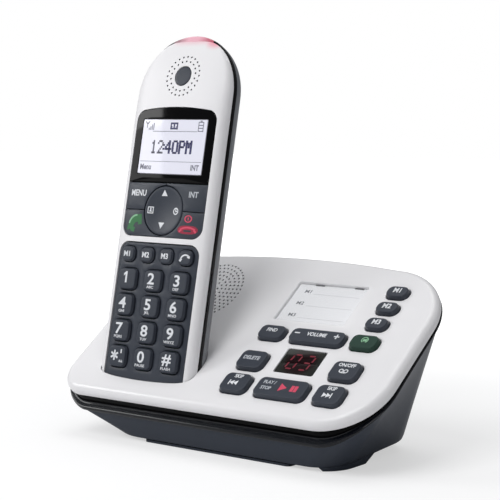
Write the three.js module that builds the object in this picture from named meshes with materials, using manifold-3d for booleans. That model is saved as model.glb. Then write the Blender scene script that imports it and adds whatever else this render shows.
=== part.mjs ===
// Answering machine: a wedge-shaped base with message keys, and a cordless handset standing in its cradle.
// Lengths are in millimetres. +X is to the right, +Y to the rear and +Z up. The origin is on the ground,
// under the middle of the machine. Columns of the panel are shares of the base's width. Columns and
// rows of the handset's face are shares of its width and length.

import * as THREE from "three";
import { mergeVertices } from "three/addons/utils/BufferGeometryUtils.js";
import Module from "manifold-3d";

// Clearances and steps shared by all pieces
const GAP = 0.3;
const OVERRUN = 8;
const MERGE_DISTANCE = 0.0001;
const CORNER_STEPS = 3;
const ROUND_STEPS = 20;

// Base outline, drawn on the tilted panel plane from its front edge
const BASE_WIDTH = 161.8;
const PANEL_LENGTH = 94.5;
const PANEL_TILT_DEGREES = 35.8;
const PANEL_FRONT_Y = -40.56;
const PANEL_FRONT_Z = 22;
const FRONT_LEFT_CORNER = 14;
const FRONT_RIGHT_CORNER = 26;
const REAR_CORNER = 31;
const REAR_BOW = 3;
const OUTLINE_STEPS = 6;
const BOW_STEPS = 4;

// Top cover
const COVER_WALL = 2.8;
const COVER_RIM = 2.2;
const COVER_SKIRT = 4.6;
const COVER_ROUND = 3.2;
const COVER_ROUND_STEPS = 4;
const COLLAR_WALL = 1.6;
const COLLAR_DEPTH = 8;

// Dish in the cover behind and around the handset
const DISH_FORWARD = 44;
const DISH_RADIUS_SHARE = 0.2225;
const DISH_DEPTH = 3.4;
const DISH_RINGS = 4;
const DISH_STEPS = 32;

// Trim band under the cover, with a lip along its lower edge
const BAND_FRONT_HEIGHT = 7.6;
const BAND_REAR_HEIGHT = 1.2;
const BAND_FALL = 7;
const BAND_INSET = 1;
const BAND_WALL = 1.7;
const LIP_OVERHANG = 1.6;
const LIP_FALL = 16;
const LIP_START_SHARE = 0.62;
const LIP_FULL_SHARE = 0.74;

// Lower housing
const HOUSING_INSET = 0.9;
const HOUSING_WALL = 2.2;
const HOUSING_FLOOR = 2.2;
const HOUSING_BOTTOM_Z = 1.3;
const HOUSING_RISE = 4.4;
const FOOTPRINT_WIDTH_SHARE = 0.74784;
const FOOTPRINT_FRONT_Y = -29.5;
const FOOTPRINT_REAR_Y = 34.8;
const FOOTPRINT_LEFT_CORNER = 20;
const FOOTPRINT_RIGHT_CORNER = 14;
const FOOTPRINT_REAR_CORNER = 19;

// Feet
const FRONT_FOOT_LENGTH_SHARE = 0.4759;
const REAR_FOOT_LENGTH_SHARE = 0.55624;
const FOOT_WIDTH = 7;
const FOOT_FROM_EDGE = 0.8;
const FOOT_ROUND = 2;
const CORNER_FOOT_START_SHARE = 0.33066;
const CORNER_FOOT_END = 30;

// Key grid on the panel
const KEY_COLUMN_X_SHARE = 0.21693;
const KEY_COLUMN_PITCH_SHARE = 0.14215;
const SKIP_ROW = 14.5;
const DELETE_ROW = 28.05;
const FIND_ROW = 44.9;
const MEMORY_ROW = 56;
const MEMORY_PITCH = 9.7;
const PLAY_WIDTH_SHARE = 0.15451;
const LARGE_KEY_WIDTH_SHARE = 0.08282;
const LARGE_KEY_HEIGHT = 10.6;
const FIND_WIDTH_SHARE = 0.08035;
const FIND_HEIGHT = 8.2;
const VOLUME_WIDTH_SHARE = 0.16687;
const MEMORY_WIDTH_SHARE = 0.06428;
const MEMORY_HEIGHT = 6.8;
const KEY_ROUND = 3;
const KEY_PROUD = 1.8;
const KEY_EDGE = 0.8;
const KEY_CLEARANCE = 0.35;
const KEY_FLANGE = 0.8;
const KEY_FLANGE_THICKNESS = 0.9;
const KEY_TRAVEL = 1.2;
const ROCKER_DEPTH = 4.3;
const ROCKER_PIN_RADIUS = 0.6;
const ROCKER_PIN_DEPTH = 3.7;
const EDGE_INSET_SHARE = 0.3;

// Message window and its digit module
const WINDOW_X_SHARE = 0.21137;
const WINDOW_ROW = 31.2;
const WINDOW_WIDTH_SHARE = 0.12052;
const WINDOW_HEIGHT = 14;
const WINDOW_ROUND = 0.8;
const WINDOW_THICKNESS = 1.2;
const WINDOW_SINK = 0.2;
const DIGIT_MODULE_MARGIN = 0.6;

// Memo recess, card and clear cover
const MEMO_X_SHARE = 0.15204;
const MEMO_ROW = 66;
const MEMO_WIDTH_SHARE = 0.2225;
const MEMO_HEIGHT = 24.2;
const MEMO_ROUND = 1;
const MEMO_RECESS = 1.9;
const MEMO_CARD_THICKNESS = 0.3;
const MEMO_COVER_THICKNESS = 0.8;

// Loudspeaker and its grille
const GRILLE_ROW = 69.5;
const GRILLE_PITCH = 3.3;
const GRILLE_RINGS = 4;
const GRILLE_HOLE_RADIUS = 0.8;
const HOLE_SIDES = 6;
const PIN_SIDES = 12;
const SPEAKER_RADIUS = 16.4;
const SPEAKER_TOP_DEPTH = 6.9;
const SPEAKER_RIM = 1.6;
const SPEAKER_CONE_DEPTH = 4;
const SPEAKER_CONE_HEIGHT = 6;
const SPEAKER_BASKET_RADIUS = 11;
const SPEAKER_MAGNET_RADIUS = 8;
const SPEAKER_DEPTH = 10.5;
const SPEAKER_COLLAR_WALL = 1.6;

// Circuit board of the base, its posts and the rear sockets
const BOARD_TOP_DEPTH = 6.4;
const BOARD_THICKNESS = 1.6;
const BOARD_LEFT_SHARE = -0.00433;
const BOARD_RIGHT_SHARE = 0.44438;
const BOARD_FRONT = 6;
const BOARD_REAR = 80;
const BOARD_CORNER = 12;
const POST_RADIUS = 2;
const POST_INSET = 2.6;
const POST_FRONT_ROW = 21;
const POST_REAR_ROW = 68;
const JACK_WIDTH = 14;
const JACK_HEIGHT = 12;
const JACK_DEPTH = 12;
const JACK_CENTRE_Z = 16;
const JACK_SINK = 1;
const POWER_JACK_X_SHARE = 0.24722;
const LINE_JACK_X_SHARE = 0.11743;
const SOCKET_WIDTH = 10;
const SOCKET_HEIGHT = 6.6;
const SOCKET_DEPTH = 9;

// Handset envelope: width, seam depth behind the face and depth of the back
const HANDSET_X_SHARE = -0.2293;
const HANDSET_Y = -34.61;
const HANDSET_Z = 17;
const HANDSET_LEAN_DEGREES = 12;
const HANDSET_LENGTH = 161.7;
const HANDSET_WIDTH = 52;
const SEAM_DEPTH = 6.5;
const BACK_DEPTH = 16;
const FRONT_POWER = 4.5;
const BACK_POWER = 2.05;
const END_CORNER = 14;
const END_FRONT_ROUND = 9;
const END_BACK_ROUND = 12;
const DOME_LENGTH = 27;
const DOME_BACK = 27;
const HEAD_START_SHARE = 0.72975;
const HEAD_POWER = 2.2;
const HEAD_FALL_POWER = 0.8;
const END_POWER = 2.2;
const SECTION_STEPS = 36;
const INNER_SECTION_STEPS = 24;
const END_STEPS = 5;
const DOME_STEPS = 6;
const POLE_SHARE = 0.13;
const SHELL_WALL = 1.8;

// Seam band and ringer light
const BAND_THICKNESS = 1.9;
const BAND_PROUD = 0.2;
const BAND_DEPTH = 3;
const RINGER_HALF_WIDTH = 11;
const RINGER_THICKNESS = 3.9;
const RINGER_REACH = 15;

// Handset front: lower keypad, upper keys and display
const PANEL_HALF_WIDTH_SHARE = 0.43077;
const KEYPAD_BOTTOM_SHARE = 0.03711;
const KEYPAD_TOP_SHARE = 0.43043;
const UPPER_BOTTOM_SHARE = 0.44465;
const UPPER_TOP_SHARE = 0.59122;
const BEZEL_TOP_SHARE = 0.78973;
const BEZEL_ARCH = 1.2;
const FACE_ROUND = 5;
const FACE_SINK = 0.35;
const MAT_DEPTH = 3;
const NUMBER_PITCH_X_SHARE = 0.27692;
const NUMBER_PITCH_Y_SHARE = 0.06926;
const NUMBER_FIRST_ROW_SHARE = 0.12059;
const NUMBER_WIDTH_SHARE = 0.19423;
const NUMBER_HEIGHT_SHARE = 0.05813;
const NUMBER_ROUND = 2.6;
const NUMBER_PROUD = 1;
const SMALL_ROW_SHARE = 0.39579;
const SMALL_PITCH_SHARE = 0.20577;
const SMALL_WIDTH_SHARE = 0.14231;
const SMALL_HEIGHT_SHARE = 0.04082;
const SMALL_PROUD = 0.8;
const NUMBER_FLANGE_THICKNESS = 0.7;
const NUMBER_EDGE = 0.6;
const SOFT_KEY_GAP = 0.35;
const SOFT_KEY_FLANGE_TOP = 3.5;
const SOFT_KEY_FLANGE_THICKNESS = 0.7;
const NAV_ROW_SHARE = 0.51701;
const NAV_RADIUS_SHARE = 0.06586;
const NAV_DEPTH = 3.4;
const NAV_POST_RADIUS = 2.2;
const NAV_STEPS = 32;

// Display
const SCREEN_WIDTH_SHARE = 0.69808;
const SCREEN_BOTTOM_SHARE = 0.6141;
const SCREEN_TOP_SHARE = 0.76438;
const SCREEN_SINK = 0.5;
const BEZEL_DEPTH = 2.6;
const SCREEN_BODY_MARGIN = 2;

// Handset inside
const HANDSET_BOARD_DEPTH = 5.3;
const HANDSET_BOARD_THICKNESS = 1.2;
const HANDSET_BOARD_BOTTOM_SHARE = 0.05566;
const HANDSET_BOARD_TOP_SHARE = 0.79777;
const EARPIECE_ROW_SHARE = 0.8825;
const EARPIECE_DISC_RADIUS = 4.25;
const EARPIECE_DISC_DEPTH = 3.2;
const EARPIECE_SPEAKER_RADIUS = 8;
const EARPIECE_SPEAKER_DEPTH = 4.6;
const EARPIECE_SPEAKER_THICKNESS = 3;
const EARPIECE_RIM_SHARE = 0.333;
const SOUND_HOLE_RADIUS = 0.42;
const INNER_SOUND_RING = 6.7;
const INNER_SOUND_HOLES = 18;
const OUTER_SOUND_RING = 8.8;
const OUTER_SOUND_HOLES = 24;

// Battery bay, cells and door in the handset's back
const CELL_RADIUS = 5.25;
const CELL_LENGTH = 44.5;
const CELL_TIP_RADIUS = 1.9;
const CELL_TIP_LENGTH = 0.9;
const CELL_SPACING = 10.7;
const CELL_STEPS = 14;
const CELL_CLEARANCE = 0.7;
const SLEEVE_THICKNESS = 1.4;
const BAY_BOTTOM_SHARE = 0.34014;
const BAY_CLEARANCE = 1.2;
const BAY_WALL = 1.5;
const DOOR_LEDGE = 2.4;
const DOOR_ROUND = 4;
const DOOR_THICKNESS = 1.8;
const DOOR_NEAR_DEPTH = 13;

// Cradle and charge contacts
const CRADLE_CLEARANCE = 0.7;
const CRADLE_WALL = 1.2;
const CRADLE_TOP = 60;
const CONTACT_OFFSET_X = 9;
const CONTACT_WIDTH = 3;
const CONTACT_THICKNESS = 1;
const CONTACT_DEPTH = 14;
const CONTACT_LENGTH = 12;

const DEGREE = Math.PI / 180;
const QUARTER_TURN = Math.PI / 2;
const FULL_TURN = Math.PI * 2;
const SIXTH_TURN = Math.PI / 3;

// Sizes on the panel follow the base's width, and sizes on the handset's face follow its width and length.
const across = (share) => share * BASE_WIDTH;
const acrossFace = (share) => share * HANDSET_WIDTH;
const along = (share) => share * HANDSET_LENGTH;

// Places and sizes that follow them
const handsetX = across(HANDSET_X_SHARE);
const keyColumnX = across(KEY_COLUMN_X_SHARE);
const keyColumnPitch = across(KEY_COLUMN_PITCH_SHARE);
const playWidth = across(PLAY_WIDTH_SHARE);
const largeKeyWidth = across(LARGE_KEY_WIDTH_SHARE);
const findWidth = across(FIND_WIDTH_SHARE);
const dishRadius = across(DISH_RADIUS_SHARE);
const boardLeft = across(BOARD_LEFT_SHARE);
const boardRight = across(BOARD_RIGHT_SHARE);
const windowWidth = across(WINDOW_WIDTH_SHARE);
const windowX = across(WINDOW_X_SHARE);
const memoWidth = across(MEMO_WIDTH_SHARE);
const memoX = across(MEMO_X_SHARE);
const footprintWidth = across(FOOTPRINT_WIDTH_SHARE);
const powerJackX = across(POWER_JACK_X_SHARE);
const lineJackX = across(LINE_JACK_X_SHARE);
const panelHalfWidth = acrossFace(PANEL_HALF_WIDTH_SHARE);
const screenWidth = acrossFace(SCREEN_WIDTH_SHARE);
const headStart = along(HEAD_START_SHARE);
const upperBottom = along(UPPER_BOTTOM_SHARE);
const bezelTop = along(BEZEL_TOP_SHARE);
const earpieceRow = along(EARPIECE_ROW_SHARE);
const bayBottom = along(BAY_BOTTOM_SHARE);
const navRadius = along(NAV_RADIUS_SHARE);
const navRow = along(NAV_ROW_SHARE);
const upperTop = along(UPPER_TOP_SHARE);
const screenBottom = along(SCREEN_BOTTOM_SHARE);
const screenTop = along(SCREEN_TOP_SHARE);

// Colours and finishes
const finishes = {
  whiteShell: { color: 0xe9e9eb, roughness: 0.32, metalness: 0 },
  slateHousing: { color: 0x3c434d, roughness: 0.5, metalness: 0 },
  slateRubber: { color: 0x3a4149, roughness: 0.6, metalness: 0 },
  blackGloss: { color: 0x08090b, roughness: 0.08, metalness: 0 },
  greyShell: { color: 0x8f9498, roughness: 0.4, metalness: 0 },
  greenKey: { color: 0x2f4f45, roughness: 0.55, metalness: 0 },
  redLight: { color: 0xe8506a, roughness: 0.25, metalness: 0 },
  screen: { color: 0xe6e8f2, roughness: 0.15, metalness: 0 },
  paper: { color: 0xf4f4f4, roughness: 0.9, metalness: 0 },
  clear: { color: 0xf2f4f6, roughness: 0.08, metalness: 0 },
  board: { color: 0x2c5a3c, roughness: 0.6, metalness: 0 },
  darkPart: { color: 0x202226, roughness: 0.55, metalness: 0 },
  contact: { color: 0xc9b27c, roughness: 0.3, metalness: 1 },
  rubber: { color: 0x26282b, roughness: 0.9, metalness: 0 },
  cell: { color: 0x4c6fa5, roughness: 0.45, metalness: 0 },
};

const wasm = await Module();
wasm.setup();

// Solids

function solidFrom(positions, triangles) {
  const mesh = new wasm.Mesh({
    numProp: 3,
    vertProperties: new Float32Array(positions),
    triVerts: new Uint32Array(triangles),
  });
  return new wasm.Manifold(mesh);
}

function solidOf(geometry) {
  const bare = geometry.clone();
  bare.deleteAttribute("normal");
  bare.deleteAttribute("uv");
  const merged = mergeVertices(bare, MERGE_DISTANCE);
  return solidFrom(merged.attributes.position.array, merged.index.array);
}

function moved(solid, matrix) {
  return solid.transform(matrix.elements);
}

// Stacks rings of equal point count, given from bottom to top and counter-clockwise from above.
function loft(rings, matrix = new THREE.Matrix4()) {
  const count = rings[0].length;
  const last = (rings.length - 1) * count;
  const triangles = [];
  for (let first = 0; first < last; first += count) {
    for (let k = 0; k < count; k += 1) {
      const a = first + k;
      const b = first + ((k + 1) % count);
      triangles.push(a, b, b + count, a, b + count, a + count);
    }
  }
  const flat = (ring) => ring.map((point) => new THREE.Vector2(point.x, point.y));
  for (const [a, b, c] of THREE.ShapeUtils.triangulateShape(flat(rings[0]), [])) {
    triangles.push(a, c, b);
  }
  for (const [a, b, c] of THREE.ShapeUtils.triangulateShape(flat(rings.at(-1)), [])) {
    triangles.push(last + a, last + b, last + c);
  }
  const positions = rings.flat().flatMap((point) => point.clone().applyMatrix4(matrix).toArray());
  return solidFrom(positions, triangles);
}

// Joins rings of equal point count into a closed hoop, the last ring back to the first.
function loopLoft(rings) {
  const count = rings[0].length;
  const triangles = [];
  rings.forEach((ring, r) => {
    const first = r * count;
    const above = ((r + 1) % rings.length) * count;
    ring.forEach((point, k) => {
      const next = (k + 1) % count;
      triangles.push(first + k, first + next, above + next, first + k, above + next, above + k);
    });
  });
  return solidFrom(rings.flat().flatMap((point) => point.toArray()), triangles);
}

function box(minimum, maximum) {
  const size = maximum.map((value, k) => value - minimum[k]);
  const geometry = new THREE.BoxGeometry(...size);
  geometry.translate(...minimum.map((value, k) => value + size[k] / 2));
  return solidOf(geometry);
}

function roundedRing(width, height, round, z, x = 0, y = 0) {
  const ring = [];
  const corners = [[1, 1], [-1, 1], [-1, -1], [1, -1]];
  corners.forEach(([sideX, sideY], corner) => {
    for (let step = 0; step <= CORNER_STEPS; step += 1) {
      const angle = (corner + step / CORNER_STEPS) * QUARTER_TURN;
      const cornerX = x + sideX * (width / 2 - round);
      const cornerY = y + sideY * (height / 2 - round);
      ring.push(new THREE.Vector3(cornerX + round * Math.cos(angle), cornerY + round * Math.sin(angle), z));
    }
  });
  return ring;
}

function roundedPrism(width, height, round, bottom, top, x = 0, y = 0) {
  const ringAt = (z) => roundedRing(width, height, round, z, x, y);
  return loft([ringAt(bottom), ringAt(top)]);
}

// A cylinder whose axis runs along Z.
function rod(radius, bottom, top, x, y, sides = ROUND_STEPS) {
  const geometry = new THREE.CylinderGeometry(radius, radius, top - bottom, sides);
  geometry.rotateX(QUARTER_TURN);
  geometry.translate(x, y, (top + bottom) / 2);
  return solidOf(geometry);
}

// A body turned about Z from points of radius and height that start and end on the axis.
function turned(profile, x, y, steps = ROUND_STEPS) {
  const points = profile.map(([radius, z]) => new THREE.Vector2(radius, z));
  const geometry = new THREE.LatheGeometry(points, steps);
  geometry.rotateX(QUARTER_TURN);
  geometry.translate(x, y, 0);
  return solidOf(geometry);
}

const machine = new THREE.Group();
const base = new THREE.Group();
const panel = new THREE.Group();
const handset = new THREE.Group();
machine.add(base, handset);
base.add(panel);

panel.position.set(0, PANEL_FRONT_Y, PANEL_FRONT_Z);
panel.rotation.x = PANEL_TILT_DEGREES * DEGREE;
handset.position.set(handsetX, HANDSET_Y, HANDSET_Z);
handset.rotation.x = QUARTER_TURN - HANDSET_LEAN_DEGREES * DEGREE;
machine.updateMatrixWorld(true);

const panelToBase = panel.matrixWorld.clone();
const baseToPanel = panelToBase.clone().invert();
const handsetToPanel = baseToPanel.clone().multiply(handset.matrixWorld);
const handsetToBase = handset.matrixWorld.clone();
const panelToHandset = handsetToPanel.clone().invert();

function addMesh(group, name, solid, finish) {
  const { vertProperties, triVerts, numProp } = solid.getMesh();
  const geometry = new THREE.BufferGeometry();
  const positions = new Float32Array((vertProperties.length / numProp) * 3);
  for (let k = 0; k < positions.length / 3; k += 1) {
    positions.set(vertProperties.subarray(k * numProp, k * numProp + 3), k * 3);
  }
  geometry.setAttribute("position", new THREE.BufferAttribute(positions, 3));
  geometry.setIndex(new THREE.BufferAttribute(new Uint32Array(triVerts), 1));
  geometry.computeVertexNormals();
  const mesh = new THREE.Mesh(geometry, new THREE.MeshStandardMaterial(finish));
  mesh.name = name;
  group.add(mesh);
}

// Base outline on the panel plane

const nearFront = (y, fall) => Math.exp(-Math.max(y, 0) / fall);

// The outline set in by a distance. A flare pushes it out again, most at the front.
function outlineRing(inset, depth, flare = 0) {
  const half = BASE_WIDTH / 2 - inset;
  const front = inset;
  const rear = PANEL_LENGTH - REAR_BOW - inset;
  const leftRound = FRONT_LEFT_CORNER - inset;
  const rightRound = FRONT_RIGHT_CORNER - inset;
  const rearRound = REAR_CORNER - inset;
  const ring = [];
  const depthAt = typeof depth === "function" ? depth : () => depth;
  const push = (x, y, full) => ring.push(new THREE.Vector3(x, y, -depthAt(full)));
  const arc = (x, y, radius, quarter) => {
    for (let step = 0; step <= OUTLINE_STEPS; step += 1) {
      const angle = (quarter + step / OUTLINE_STEPS) * QUARTER_TURN;
      const full = y + (radius + inset) * Math.sin(angle);
      const reach = radius + flare * nearFront(full, LIP_FALL);
      push(x + reach * Math.cos(angle), y + reach * Math.sin(angle), full);
    }
  };
  arc(half - rearRound, rear - rearRound, rearRound, 0);
  const bowHalf = half - rearRound;
  for (let step = 1; step < BOW_STEPS; step += 1) {
    const share = 1 - (2 * step) / BOW_STEPS;
    const bowed = rear + REAR_BOW * (1 - share ** 2);
    push(bowHalf * share, bowed, bowed + inset);
  }
  arc(-half + rearRound, rear - rearRound, rearRound, 1);
  arc(-half + leftRound, front + leftRound, leftRound, 2);
  arc(half - rightRound, front + rightRound, rightRound, 3);
  return ring;
}

const bandTop = COVER_SKIRT + GAP;
const bandGrowth = BAND_FRONT_HEIGHT - BAND_REAR_HEIGHT;
const bandHeight = (y) => BAND_REAR_HEIGHT + bandGrowth * nearFront(y, BAND_FALL);
const bandDepth = (share) => (y) => bandTop + share * bandHeight(y);
const housingTop = (y) => bandDepth(1)(y) + GAP;

// Handset envelope

function endShare(distance, reach, power) {
  if (distance >= reach) {
    return 1;
  }
  return (1 - (1 - distance / reach) ** power) ** (1 / power);
}

function headShare(station) {
  const share = Math.max(0, (station - headStart) / (HANDSET_LENGTH - headStart));
  return (1 - share ** HEAD_POWER) ** HEAD_FALL_POWER;
}

function sectionSizes(station) {
  const top = HANDSET_LENGTH - station;
  return {
    half: (HANDSET_WIDTH / 2) * endShare(station, END_CORNER, END_POWER) * endShare(top, DOME_LENGTH, 2),
    front: SEAM_DEPTH * endShare(station, END_FRONT_ROUND, 2) * headShare(station),
    back: BACK_DEPTH * endShare(station, END_BACK_ROUND, END_POWER) * endShare(top, DOME_BACK, END_POWER),
  };
}

function handsetStations() {
  const stations = [];
  for (let step = 0; step <= END_STEPS; step += 1) {
    const angle = (POLE_SHARE + (1 - POLE_SHARE) * (step / END_STEPS)) * QUARTER_TURN;
    stations.push(END_CORNER * (1 - Math.cos(angle)));
  }
  stations.push(headStart, (headStart + HANDSET_LENGTH - DOME_LENGTH) / 2);
  for (let step = DOME_STEPS; step >= 0; step -= 1) {
    const angle = (POLE_SHARE + (1 - POLE_SHARE) * (step / DOME_STEPS)) * QUARTER_TURN;
    stations.push(HANDSET_LENGTH - DOME_LENGTH * (1 - Math.cos(angle)));
  }
  return stations;
}

// The handset's outer form, grown outwards by a distance. It stands along +Y with its face towards +Z.
function envelope(grow, steps = SECTION_STEPS) {
  const widthScale = 1 + grow / (HANDSET_WIDTH / 2);
  const frontScale = 1 + grow / SEAM_DEPTH;
  const backScale = 1 + grow / BACK_DEPTH;
  const lengthScale = 1 + (2 * grow) / HANDSET_LENGTH;
  const rings = handsetStations().map((station) => {
    const { half, front, back } = sectionSizes(station);
    const ring = [];
    for (let k = 0; k < steps; k += 1) {
      const angle = (-FULL_TURN * k) / steps;
      const cosine = Math.cos(angle);
      const sine = Math.sin(angle);
      const isFront = sine >= 0;
      const power = 2 / (isFront ? FRONT_POWER : BACK_POWER);
      const height = isFront ? front * frontScale : back * backScale;
      const x = half * widthScale * Math.sign(cosine) * Math.abs(cosine) ** power;
      const z = height * Math.sign(sine) * Math.abs(sine) ** power - SEAM_DEPTH;
      ring.push(new THREE.Vector3(x, -z, station * lengthScale - grow));
    }
    return ring;
  });
  return loft(rings, new THREE.Matrix4().makeRotationX(-QUARTER_TURN));
}

// A slice of handset space between two depths behind the face plane.
function slice(nearDepth, farDepth, low = -OVERRUN, high = HANDSET_LENGTH + OVERRUN) {
  const half = HANDSET_WIDTH / 2 + OVERRUN;
  return box([-half, low, -farDepth], [half, high, -nearDepth]);
}

const outer = envelope(0);
const inner = envelope(-SHELL_WALL, INNER_SECTION_STEPS);

// Keys of the base

const memoryColumn = keyColumnX + keyColumnPitch;
const leftColumn = keyColumnX - keyColumnPitch;
const baseKeys = [
  { name: "play_stop_key", x: keyColumnX, y: SKIP_ROW, width: playWidth, height: LARGE_KEY_HEIGHT },
  { name: "skip_back_key", x: leftColumn, y: SKIP_ROW, width: largeKeyWidth, height: LARGE_KEY_HEIGHT },
  { name: "skip_forward_key", x: memoryColumn, y: SKIP_ROW, width: largeKeyWidth, height: LARGE_KEY_HEIGHT },
  { name: "delete_key", x: leftColumn, y: DELETE_ROW, width: largeKeyWidth, height: LARGE_KEY_HEIGHT },
  { name: "on_off_key", x: memoryColumn, y: DELETE_ROW, width: largeKeyWidth, height: LARGE_KEY_HEIGHT },
  { name: "find_key", x: leftColumn, y: FIND_ROW, width: findWidth, height: FIND_HEIGHT },
  { name: "speakerphone_key", x: memoryColumn, y: FIND_ROW, width: findWidth, height: FIND_HEIGHT },
];
for (let k = 0; k < 3; k += 1) {
  const y = MEMORY_ROW + (2 - k) * MEMORY_PITCH;
  const name = `base_memory_key_${k + 1}`;
  baseKeys.push({ name, x: memoryColumn, y, width: across(MEMORY_WIDTH_SHARE), height: MEMORY_HEIGHT });
}
const volumeKey = { x: keyColumnX, y: FIND_ROW, width: across(VOLUME_WIDTH_SHARE), height: FIND_HEIGHT };

// A key with a rounded top edge, from its foot depth up to its proud height.
function keyRings({ x, y, width, height }, round, foot, proud, edge) {
  const top = (inset, z) => roundedRing(width - 2 * inset, height - 2 * inset, round - inset, z, x, y);
  return [
    top(0, -foot),
    top(0, proud - edge),
    top(edge * EDGE_INSET_SHARE, proud - edge * EDGE_INSET_SHARE),
    top(edge, proud),
  ];
}

// A key whose flange sits one gap under a wall.
function flangedKey(key, round, wall, proud, edge, thickness) {
  const grown = { ...key, width: key.width + 2 * KEY_FLANGE, height: key.height + 2 * KEY_FLANGE };
  const flangeRound = round + KEY_FLANGE;
  const flangeRing = (depth) => roundedRing(grown.width, grown.height, flangeRound, -depth, key.x, key.y);
  const flangeTop = wall + GAP;
  const flange = [flangeRing(flangeTop + thickness), flangeRing(flangeTop)];
  return loft([...flange, ...keyRings(key, round, flangeTop, proud, edge)]);
}

function keyHole({ x, y, width, height }, round, clearance) {
  const hole = [width + 2 * clearance, height + 2 * clearance, round + clearance];
  return roundedPrism(...hole, -OVERRUN, OVERRUN, x, y);
}

function addBaseKeys() {
  for (const key of baseKeys) {
    const finish = key.name === "speakerphone_key" ? finishes.greenKey : finishes.slateRubber;
    const solid = flangedKey(key, KEY_ROUND, COVER_WALL, KEY_PROUD, KEY_EDGE, KEY_FLANGE_THICKNESS);
    addMesh(panel, key.name, solid, finish);
  }
  const cap = loft(keyRings(volumeKey, KEY_ROUND, ROCKER_DEPTH, KEY_PROUD, KEY_EDGE));
  const pinHalf = FIND_HEIGHT / 2 + KEY_FLANGE;
  const pin = moved(
    rod(ROCKER_PIN_RADIUS, -pinHalf, pinHalf, 0, 0, PIN_SIDES),
    new THREE.Matrix4().makeTranslation(keyColumnX, FIND_ROW, -ROCKER_PIN_DEPTH)
      .multiply(new THREE.Matrix4().makeRotationX(QUARTER_TURN)),
  );
  addMesh(panel, "volume_key", cap.add(pin), finishes.slateRubber);
}

// Top cover

const dishSphere = (dishRadius ** 2 + DISH_DEPTH ** 2) / (2 * DISH_DEPTH);

// A body above the dish's surface, lowered by a distance, up to a ceiling height.
function dishBody(lowered, ceiling, reach) {
  const profile = [];
  for (let step = 0; step <= DISH_RINGS; step += 1) {
    const radius = (reach * step) / DISH_RINGS;
    const rise = dishSphere - Math.sqrt(dishSphere ** 2 - radius ** 2);
    profile.push([radius, rise - DISH_DEPTH - lowered]);
  }
  profile.push([reach, ceiling], [0, ceiling]);
  return turned(profile, handsetX, DISH_FORWARD, DISH_STEPS);
}

function grilleHoles() {
  const holes = [];
  for (let row = -GRILLE_RINGS; row <= GRILLE_RINGS; row += 1) {
    const count = 2 * GRILLE_RINGS + 1 - Math.abs(row);
    for (let k = 0; k < count; k += 1) {
      const x = handsetX + (k - (count - 1) / 2) * GRILLE_PITCH;
      const y = GRILLE_ROW + row * GRILLE_PITCH * Math.sin(SIXTH_TURN);
      holes.push(rod(GRILLE_HOLE_RADIUS, -COLLAR_DEPTH, OVERRUN, x, y, HOLE_SIDES));
    }
  }
  return holes;
}

function addCover() {
  const edge = [outlineRing(0, COVER_SKIRT)];
  for (let step = 0; step <= COVER_ROUND_STEPS; step += 1) {
    const angle = (step / COVER_ROUND_STEPS) * QUARTER_TURN;
    edge.push(outlineRing(COVER_ROUND * (1 - Math.cos(angle)), COVER_ROUND * (1 - Math.sin(angle))));
  }
  const cavity = loft([outlineRing(COVER_RIM, COVER_SKIRT + OVERRUN), outlineRing(COVER_RIM, COVER_WALL)]);
  let cover = loft(edge).subtract(cavity);

  const collarInset = BAND_INSET + BAND_WALL + GAP;
  const collarRing = (depth) => outlineRing(collarInset, depth);
  const collarSpace = loft([collarRing(COLLAR_DEPTH), collarRing(COVER_WALL / 2)]);
  const collar = moved(envelope(CRADLE_CLEARANCE + COLLAR_WALL), handsetToPanel).intersect(collarSpace);
  const underDish = dishBody(COVER_WALL, -COVER_WALL / 2, dishRadius);
  const speakerRing = rod(SPEAKER_RADIUS, GAP - SPEAKER_TOP_DEPTH, -COVER_WALL / 2, handsetX, GRILLE_ROW)
    .subtract(rod(SPEAKER_RADIUS - SPEAKER_COLLAR_WALL, -OVERRUN, 0, handsetX, GRILLE_ROW));
  cover = cover.add(underDish).add(collar).add(speakerRing);
  for (const x of [boardLeft + POST_INSET, boardRight - POST_INSET]) {
    for (const y of [POST_FRONT_ROW, POST_REAR_ROW]) {
      cover = cover.add(rod(POST_RADIUS, GAP - BOARD_TOP_DEPTH, -COVER_WALL / 2, x, y));
    }
  }

  const cuts = [
    dishBody(0, OVERRUN, dishRadius + GAP),
    moved(envelope(CRADLE_CLEARANCE), handsetToPanel),
    keyHole(volumeKey, KEY_ROUND, KEY_CLEARANCE),
    roundedPrism(windowWidth, WINDOW_HEIGHT, WINDOW_ROUND, -OVERRUN, OVERRUN, windowX, WINDOW_ROW),
    roundedPrism(memoWidth, MEMO_HEIGHT, MEMO_ROUND, -MEMO_RECESS, OVERRUN, memoX, MEMO_ROW),
    ...baseKeys.map((key) => keyHole(key, KEY_ROUND, KEY_CLEARANCE)),
    ...grilleHoles(),
  ];
  for (const cut of cuts) {
    cover = cover.subtract(cut);
  }
  addMesh(panel, "base_cover", cover, finishes.whiteShell);
}

// Trim band and lower housing

function addTrimBand() {
  const band = loopLoft([
    outlineRing(0, bandDepth(1), LIP_OVERHANG),
    outlineRing(0, bandDepth(LIP_FULL_SHARE), LIP_OVERHANG),
    outlineRing(BAND_INSET, bandDepth(LIP_START_SHARE)),
    outlineRing(BAND_INSET, bandTop),
    outlineRing(BAND_INSET + BAND_WALL, bandTop),
    outlineRing(BAND_INSET + BAND_WALL, bandDepth(1)),
  ]);
  addMesh(panel, "trim_band", band, finishes.blackGloss);
}

const bottomRise = HOUSING_RISE / (FOOTPRINT_REAR_Y - FOOTPRINT_FRONT_Y);
const bottomAt = (y) => HOUSING_BOTTOM_Z + bottomRise * (y - FOOTPRINT_FRONT_Y);

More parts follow.
